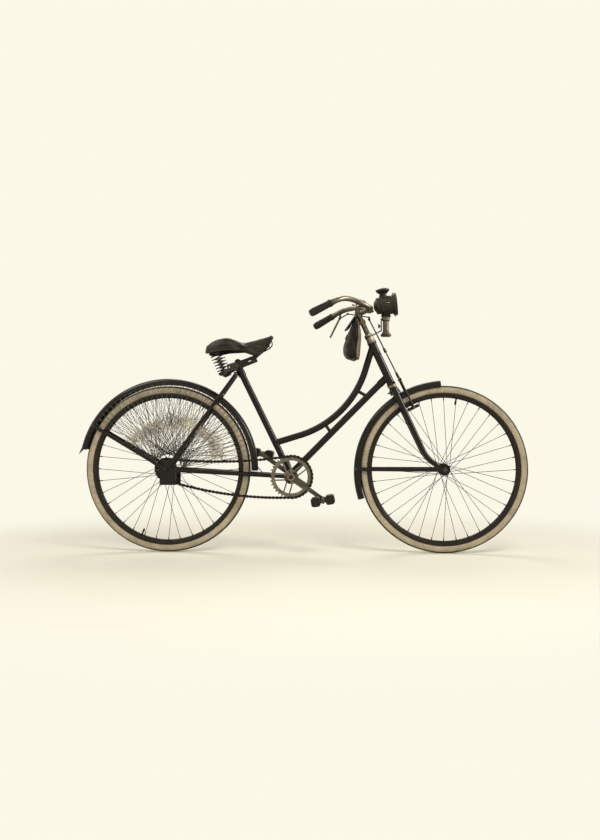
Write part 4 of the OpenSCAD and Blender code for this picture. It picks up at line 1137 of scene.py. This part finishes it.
class ROADSTER_OT_lamp(bpy.types.Operator):
    """Makes the carbide lamp's vents, jewels, beads, knobs and burner"""
    bl_idname = "roadster.lamp"
    bl_label = "Lamp"

    def execute(self, context):
        metal, glass, soot = Shape(), Shape(), Shape()
        x_way, y_way, z_way = Vector((1, 0, 0)), Vector((0, 1, 0)), Vector((0, 0, 1))

        def ring(at, axis, radius, wire):
            side = axis.cross(Vector((0.3, 0.2, 0.9))).normalized()
            up = axis.cross(side)
            path = [at + radius * around(k / 48, side, up) for k in range(48)]
            metal.tube(path, wire, 8, closed=True)

        for along, radius, wire in (
            (45, 46.2, 1.8), (30.5, 44, 1.4), (-21, 38.6, 1.3), (-38, 35.1, 1.2), (-48.5, 18.6, 1.2),
        ):
            ring(on_lamp(along, 0, 0), LAMP_FORE, radius, wire)
        for up, radius, wire in ((5, 19, 1.1), (36, 29, 1.3), (13.5, 15.2, 0.9)):
            ring(on_lamp(-8, 0, 30 + up), LAMP_UP, radius, wire)
        for k in range(12):
            out = around(k / 12, LAMP_FORE, y_way)
            for reach, up, size in ((15, 16, (1.4, 4.4, 3.6)), (25.8, 29.6, (1.8, 5.0, 6.0))):
                soot.slab(on_lamp(-8, 0, 30 + up) + reach * out, (out, LAMP_UP), size, bevel=0.4)
        for side in (-1, 1):
            jewel = on_lamp(4, side * 42.6, 2)
            ring(jewel, y_way, 10.9, 1.7)
            glass.lathe([(9.6, -1), (9.4, 1.2), (7.4, 3.0), (4.2, 4.2), (0.2, 4.6)],
                        jewel, side * y_way, 12)
        for up, radius in ((4, 22), (9, 22), (22, 13.3), (66, 13.3), (84, 17.2)):
            ring(LAMP_AT + up * z_way, z_way, radius, 0.9)
        for k in range(24):
            out = around(k / 24, x_way, y_way)
            metal.slab(LAMP_AT + 21.8 * out + 6.5 * z_way, (out, z_way), (1.6, 4.4, 3.0), bevel=0.5)
        screw = LAMP_AT + Vector((-22.6, 0, 45))
        soot.lathe([(3, 0), (3, 3.5), (8.4, 3.8), (9, 4.8), (9, 9.5), (8, 10.6), (0.2, 10.8)],
                   screw, -x_way, 20)
        knob = LAMP_AT + Vector((0, -21, 48))
        for k in range(14):
            out = around(k / 14, x_way, z_way)
            metal.slab(knob + 6 * out + sideways(4), (out, y_way), (0.9, 7, 1.2), bevel=0.3)
        metal.slab(on_lamp(38, 0, 47), (LAMP_FORE, y_way), (16, 9, 3.4), bevel=1)
        metal.lathe([(3.2, -7), (3.2, 7)], on_lamp(36, 0, -48), y_way, 12)
        metal.lathe([(4, 0), (4, 8), (2.4, 9), (2.4, 16), (5, 19), (0.2, 19.4)],
                    on_lamp(24, 0, -22), z_way, 14)
        piece("lamp_trim", metal, ("lamp_nickel",), "steering")
        piece("lamp_vents", soot, ("soot",), "steering")
        piece("lamp_jewels", glass, ("jewel_glass",), "steering", sharp=12)
        return {"FINISHED"}


class ROADSTER_OT_guards(bpy.types.Operator):
    """Makes the rear guard's lacing eyelets and the guards' bolts"""
    bl_idname = "roadster.guards"
    bl_label = "Mudguard fittings"

    def execute(self, context):
        eyes = Shape()
        holes = sizes().net_holes
        low, high = NET_SPAN
        for side in (-1, 1):
            for i in range(holes):
                at = polar(GUARD_EDGE_R + 2.5, low + (high - low) * i / (holes - 1), side * 24.7)
                eyes.tube([at + polar(2.0, 60 * k) for k in range(6)], 0.6, 5, closed=True)
        piece("net_eyelets", eyes, ("dull_steel",), "frame")
        bolts = Shape()
        front = Shape()
        for side in (-1, 1):
            nut(bolts, polar(370, 150, side * 29), (0, side, 0), 5.6, 4)
            nut(front, FRONT_AT + Vector((-372, side * 29, 1)), (0, side, 0), 5.6, 4)
        nut(front, steered(-15, 0, 391), -STEER_FORE, 7.5, 7)
        front.lathe([(3.6, 0), (3.6, 18), (2.4, 19)], steered(-12, 0, 391), -STEER_FORE, 12)
        piece("rear_guard_nuts", bolts, ("dull_steel",), "frame")
        piece("front_guard_nuts", front, ("dull_steel",), "steering")
        return {"FINISHED"}


def nut(shape, at, axis, radius, height):
    """Hexagon nut with chamfered corners."""
    shape.lathe([(radius * 0.9, 0), (radius, 0.6), (radius, height - 0.6), (radius * 0.88, height),
                 (0.4, height)], at, axis, 6)


GRIP_RIBS = 14
# Rib of a grip: how far along it, and its radius
GRIP_RIB = ((24, 12.2), (26, 13.0), (58, 14.0), (92, 15.2), (96, 14.2))


class ROADSTER_OT_bars(bpy.types.Operator):
    """Makes ferrules, grip ribs, the bell's thumb piece, clamp bolts and brake fittings"""
    bl_idname = "roadster.bars"
    bl_label = "Handlebar fittings"

    def execute(self, context):
        metal, rubber = Shape(), Shape()
        for side in (-1, 1):
            along = Vector((-84, side * 25, -46)).normalized()
            end = CLAMP_AT + Vector((-153, side * 245, 2))
            metal.lathe([(11.2, -6), (12.6, -5), (13.2, 0), (12.4, 5.6), (11.1, 6)], end, along, 28)
            across = along.cross(Vector((0, 0, 1))).normalized()
            over = across.cross(along)
            for k in range(GRIP_RIBS):
                out = around(k / GRIP_RIBS, across, over)
                rubber.tube([end + s * along + r * out for s, r in GRIP_RIB], 1.3, 6)
        bell = CLAMP_AT + Vector((-34, 84, 27))
        metal.lathe([(3.2, 23), (3.2, 26), (2, 27), (0.2, 27.2)], bell, (0, 0, 1), 12)
        thumb = [bell + Vector(p) for p in ((-20, 0, 2), (-30, 4, 2), (-38, 10, 4))]
        metal.tube(thumb, [2.2, 2.4, 4.2], 8)
        for up, radius in ((757, 7.5), (765, 5.5)):
            nut(metal, steered(0, 0, up), STEER_UP, radius, 9)
        for side in (-1, 1):
            nut(metal, CLAMP_AT + Vector((13, side * 9, -9)), (0.7, 0, -0.7), 4.4, 4)
        top = CLAMP_AT + Vector((-2, -16, -45))
        foot = FRONT_AT + polar(432, 116)
        mid = top * 0.47 + foot * 0.53
        along = (top - foot).normalized()
        metal.slab(mid, (Vector((0, 1, 0)), along), (24, 9, 3), bevel=1.2)
        nut(metal, mid + 9.5 * along, along, 4.6, 4)
        for side in (-1, 1):
            nut(metal, FRONT_AT + polar(292, 116, side * 38.5), (0, side, 0), 5.2, 4)
        piece("bar_and_brake_trim", metal, ("nickel_plate",), "steering")
        piece("grip_ribs", rubber, ("worn_rubber",), "steering")
        return {"FINISHED"}


CRANK_ANGLE = 34.5
# Y of the cotters, of the crank bosses' faces, of the axle's ends and of the chainring's face
COTTER_Y = 58
BOSS_Y = 66
AXLE_END_Y = 67.8
RING_FACE_Y = -48.7
RING_BOLTS = 5


class ROADSTER_OT_frame_fittings(bpy.types.Operator):
    """Makes seat bolts, the oiler, chain adjusters, and the cranks' cotters, caps and collars"""
    bl_idname = "roadster.frame_fittings"
    bl_label = "Frame fittings"

    def execute(self, context):
        fixed, drive, collars = Shape(), Shape(), Shape()
        eye = Vector((294.2, 0, 406.5))
        for side in (-1, 1):
            nut(fixed, eye + sideways(side * 34.6), (0, side, 0), 7, 5.5)
            nut(fixed, SEAT_AT + Vector((42, side * 27.3, -115)), (0, side, 0), 9, 6)
        oiler = Vector((CRANK_AT.x + 8, 0, CRANK_AT.z + 20.6))
        fixed.lathe([(3.6, -1), (3.6, 2), (2.6, 3), (2.6, 5.5), (0.2, 6)], oiler, (0.35, 0, 1), 12)
        for side in (-1, 1):
            bolt = Vector((-27, side * 59.5, -3))
            fixed.lathe([(2.6, 0), (2.6, 14), (1.6, 15)], bolt, (-1, 0, 0), 10)
            nut(fixed, bolt, (-1, 0, 0), 5.2, 5)
        piece("frame_bolts", fixed, ("dull_steel",), "frame")
        angle = math.radians(CRANK_ANGLE)
        along = Vector((math.cos(angle), 0, -math.sin(angle)))
        up = Vector((math.sin(angle), 0, math.cos(angle)))
        for side in (-1, 1):
            crank = CRANK_AT + sideways(side * COTTER_Y)
            nut(drive, crank - 21.5 * up, -up, 7.2, 6)
            drive.lathe([(4.4, 0), (4.4, 3), (3.0, 5)], crank + 20 * up, up, 12)
            drive.lathe([(7.8, 0), (7.8, 1.2), (5.5, 2.6), (0.2, 3.2)],
                        CRANK_AT + sideways(side * AXLE_END_Y), (0, side, 0), 20)
            collars.lathe(
                [(10.4, -0.5), (10.4, 0.8), (11.4, 1.6), (13.6, 1.6), (15.2, 0.6), (15.2, -0.5)],
                CRANK_AT + sideways(side * BOSS_Y), (0, side, 0), 40)
        ring = CRANK_AT + sideways(RING_FACE_Y)
        for k in range(RING_BOLTS):
            drive.lathe([(4.2, 0), (4.2, 1.2), (3, 2.2), (0.2, 2.5)],
                        ring + 24 * around(k / RING_BOLTS, along, up), (0, -1, 0), 12)
        piece("crank_fastenings", drive, ("dark_steel",), "cranks")
        piece("crank_collars", collars, ("rubbed_nickel",), "cranks")
        return {"FINISHED"}


OPERATORS = (
    ROADSTER_OT_finishes, ROADSTER_OT_stage, ROADSTER_OT_tyres, ROADSTER_OT_wheel_fittings,
    ROADSTER_OT_chain, ROADSTER_OT_dress_guards, ROADSTER_OT_saddle, ROADSTER_OT_tool_bag,
    ROADSTER_OT_lamp, ROADSTER_OT_guards, ROADSTER_OT_bars, ROADSTER_OT_frame_fittings,
)


class ROADSTER_PT_panel(bpy.types.Panel):
    """Lists the sizes, the colours and the steps"""
    bl_idname = "ROADSTER_PT_panel"
    bl_label = "Roadster"
    bl_space_type = "VIEW_3D"
    bl_region_type = "UI"
    bl_category = "Roadster"

    def draw(self, context):
        for group in (context.scene.roadster_sizes, context.scene.roadster_colours):
            column = self.layout.column()
            for key in group.__annotations__:
                column.prop(group, key)
        for operator in OPERATORS:
            self.layout.operator(operator.bl_idname)


CLASSES = (RoadsterColours, RoadsterSizes, *OPERATORS, ROADSTER_PT_panel)


def register():
    for cls in CLASSES:
        bpy.utils.register_class(cls)
    bpy.types.Scene.roadster_colours = PointerProperty(type=RoadsterColours)
    bpy.types.Scene.roadster_sizes = PointerProperty(type=RoadsterSizes)


def unregister():
    del bpy.types.Scene.roadster_sizes
    del bpy.types.Scene.roadster_colours
    for cls in reversed(CLASSES):
        bpy.utils.unregister_class(cls)


def main():
    register()
    for operator in OPERATORS:
        getattr(bpy.ops.roadster, operator.bl_idname.split(".")[1])()


if __name__ == "__main__":
    main()
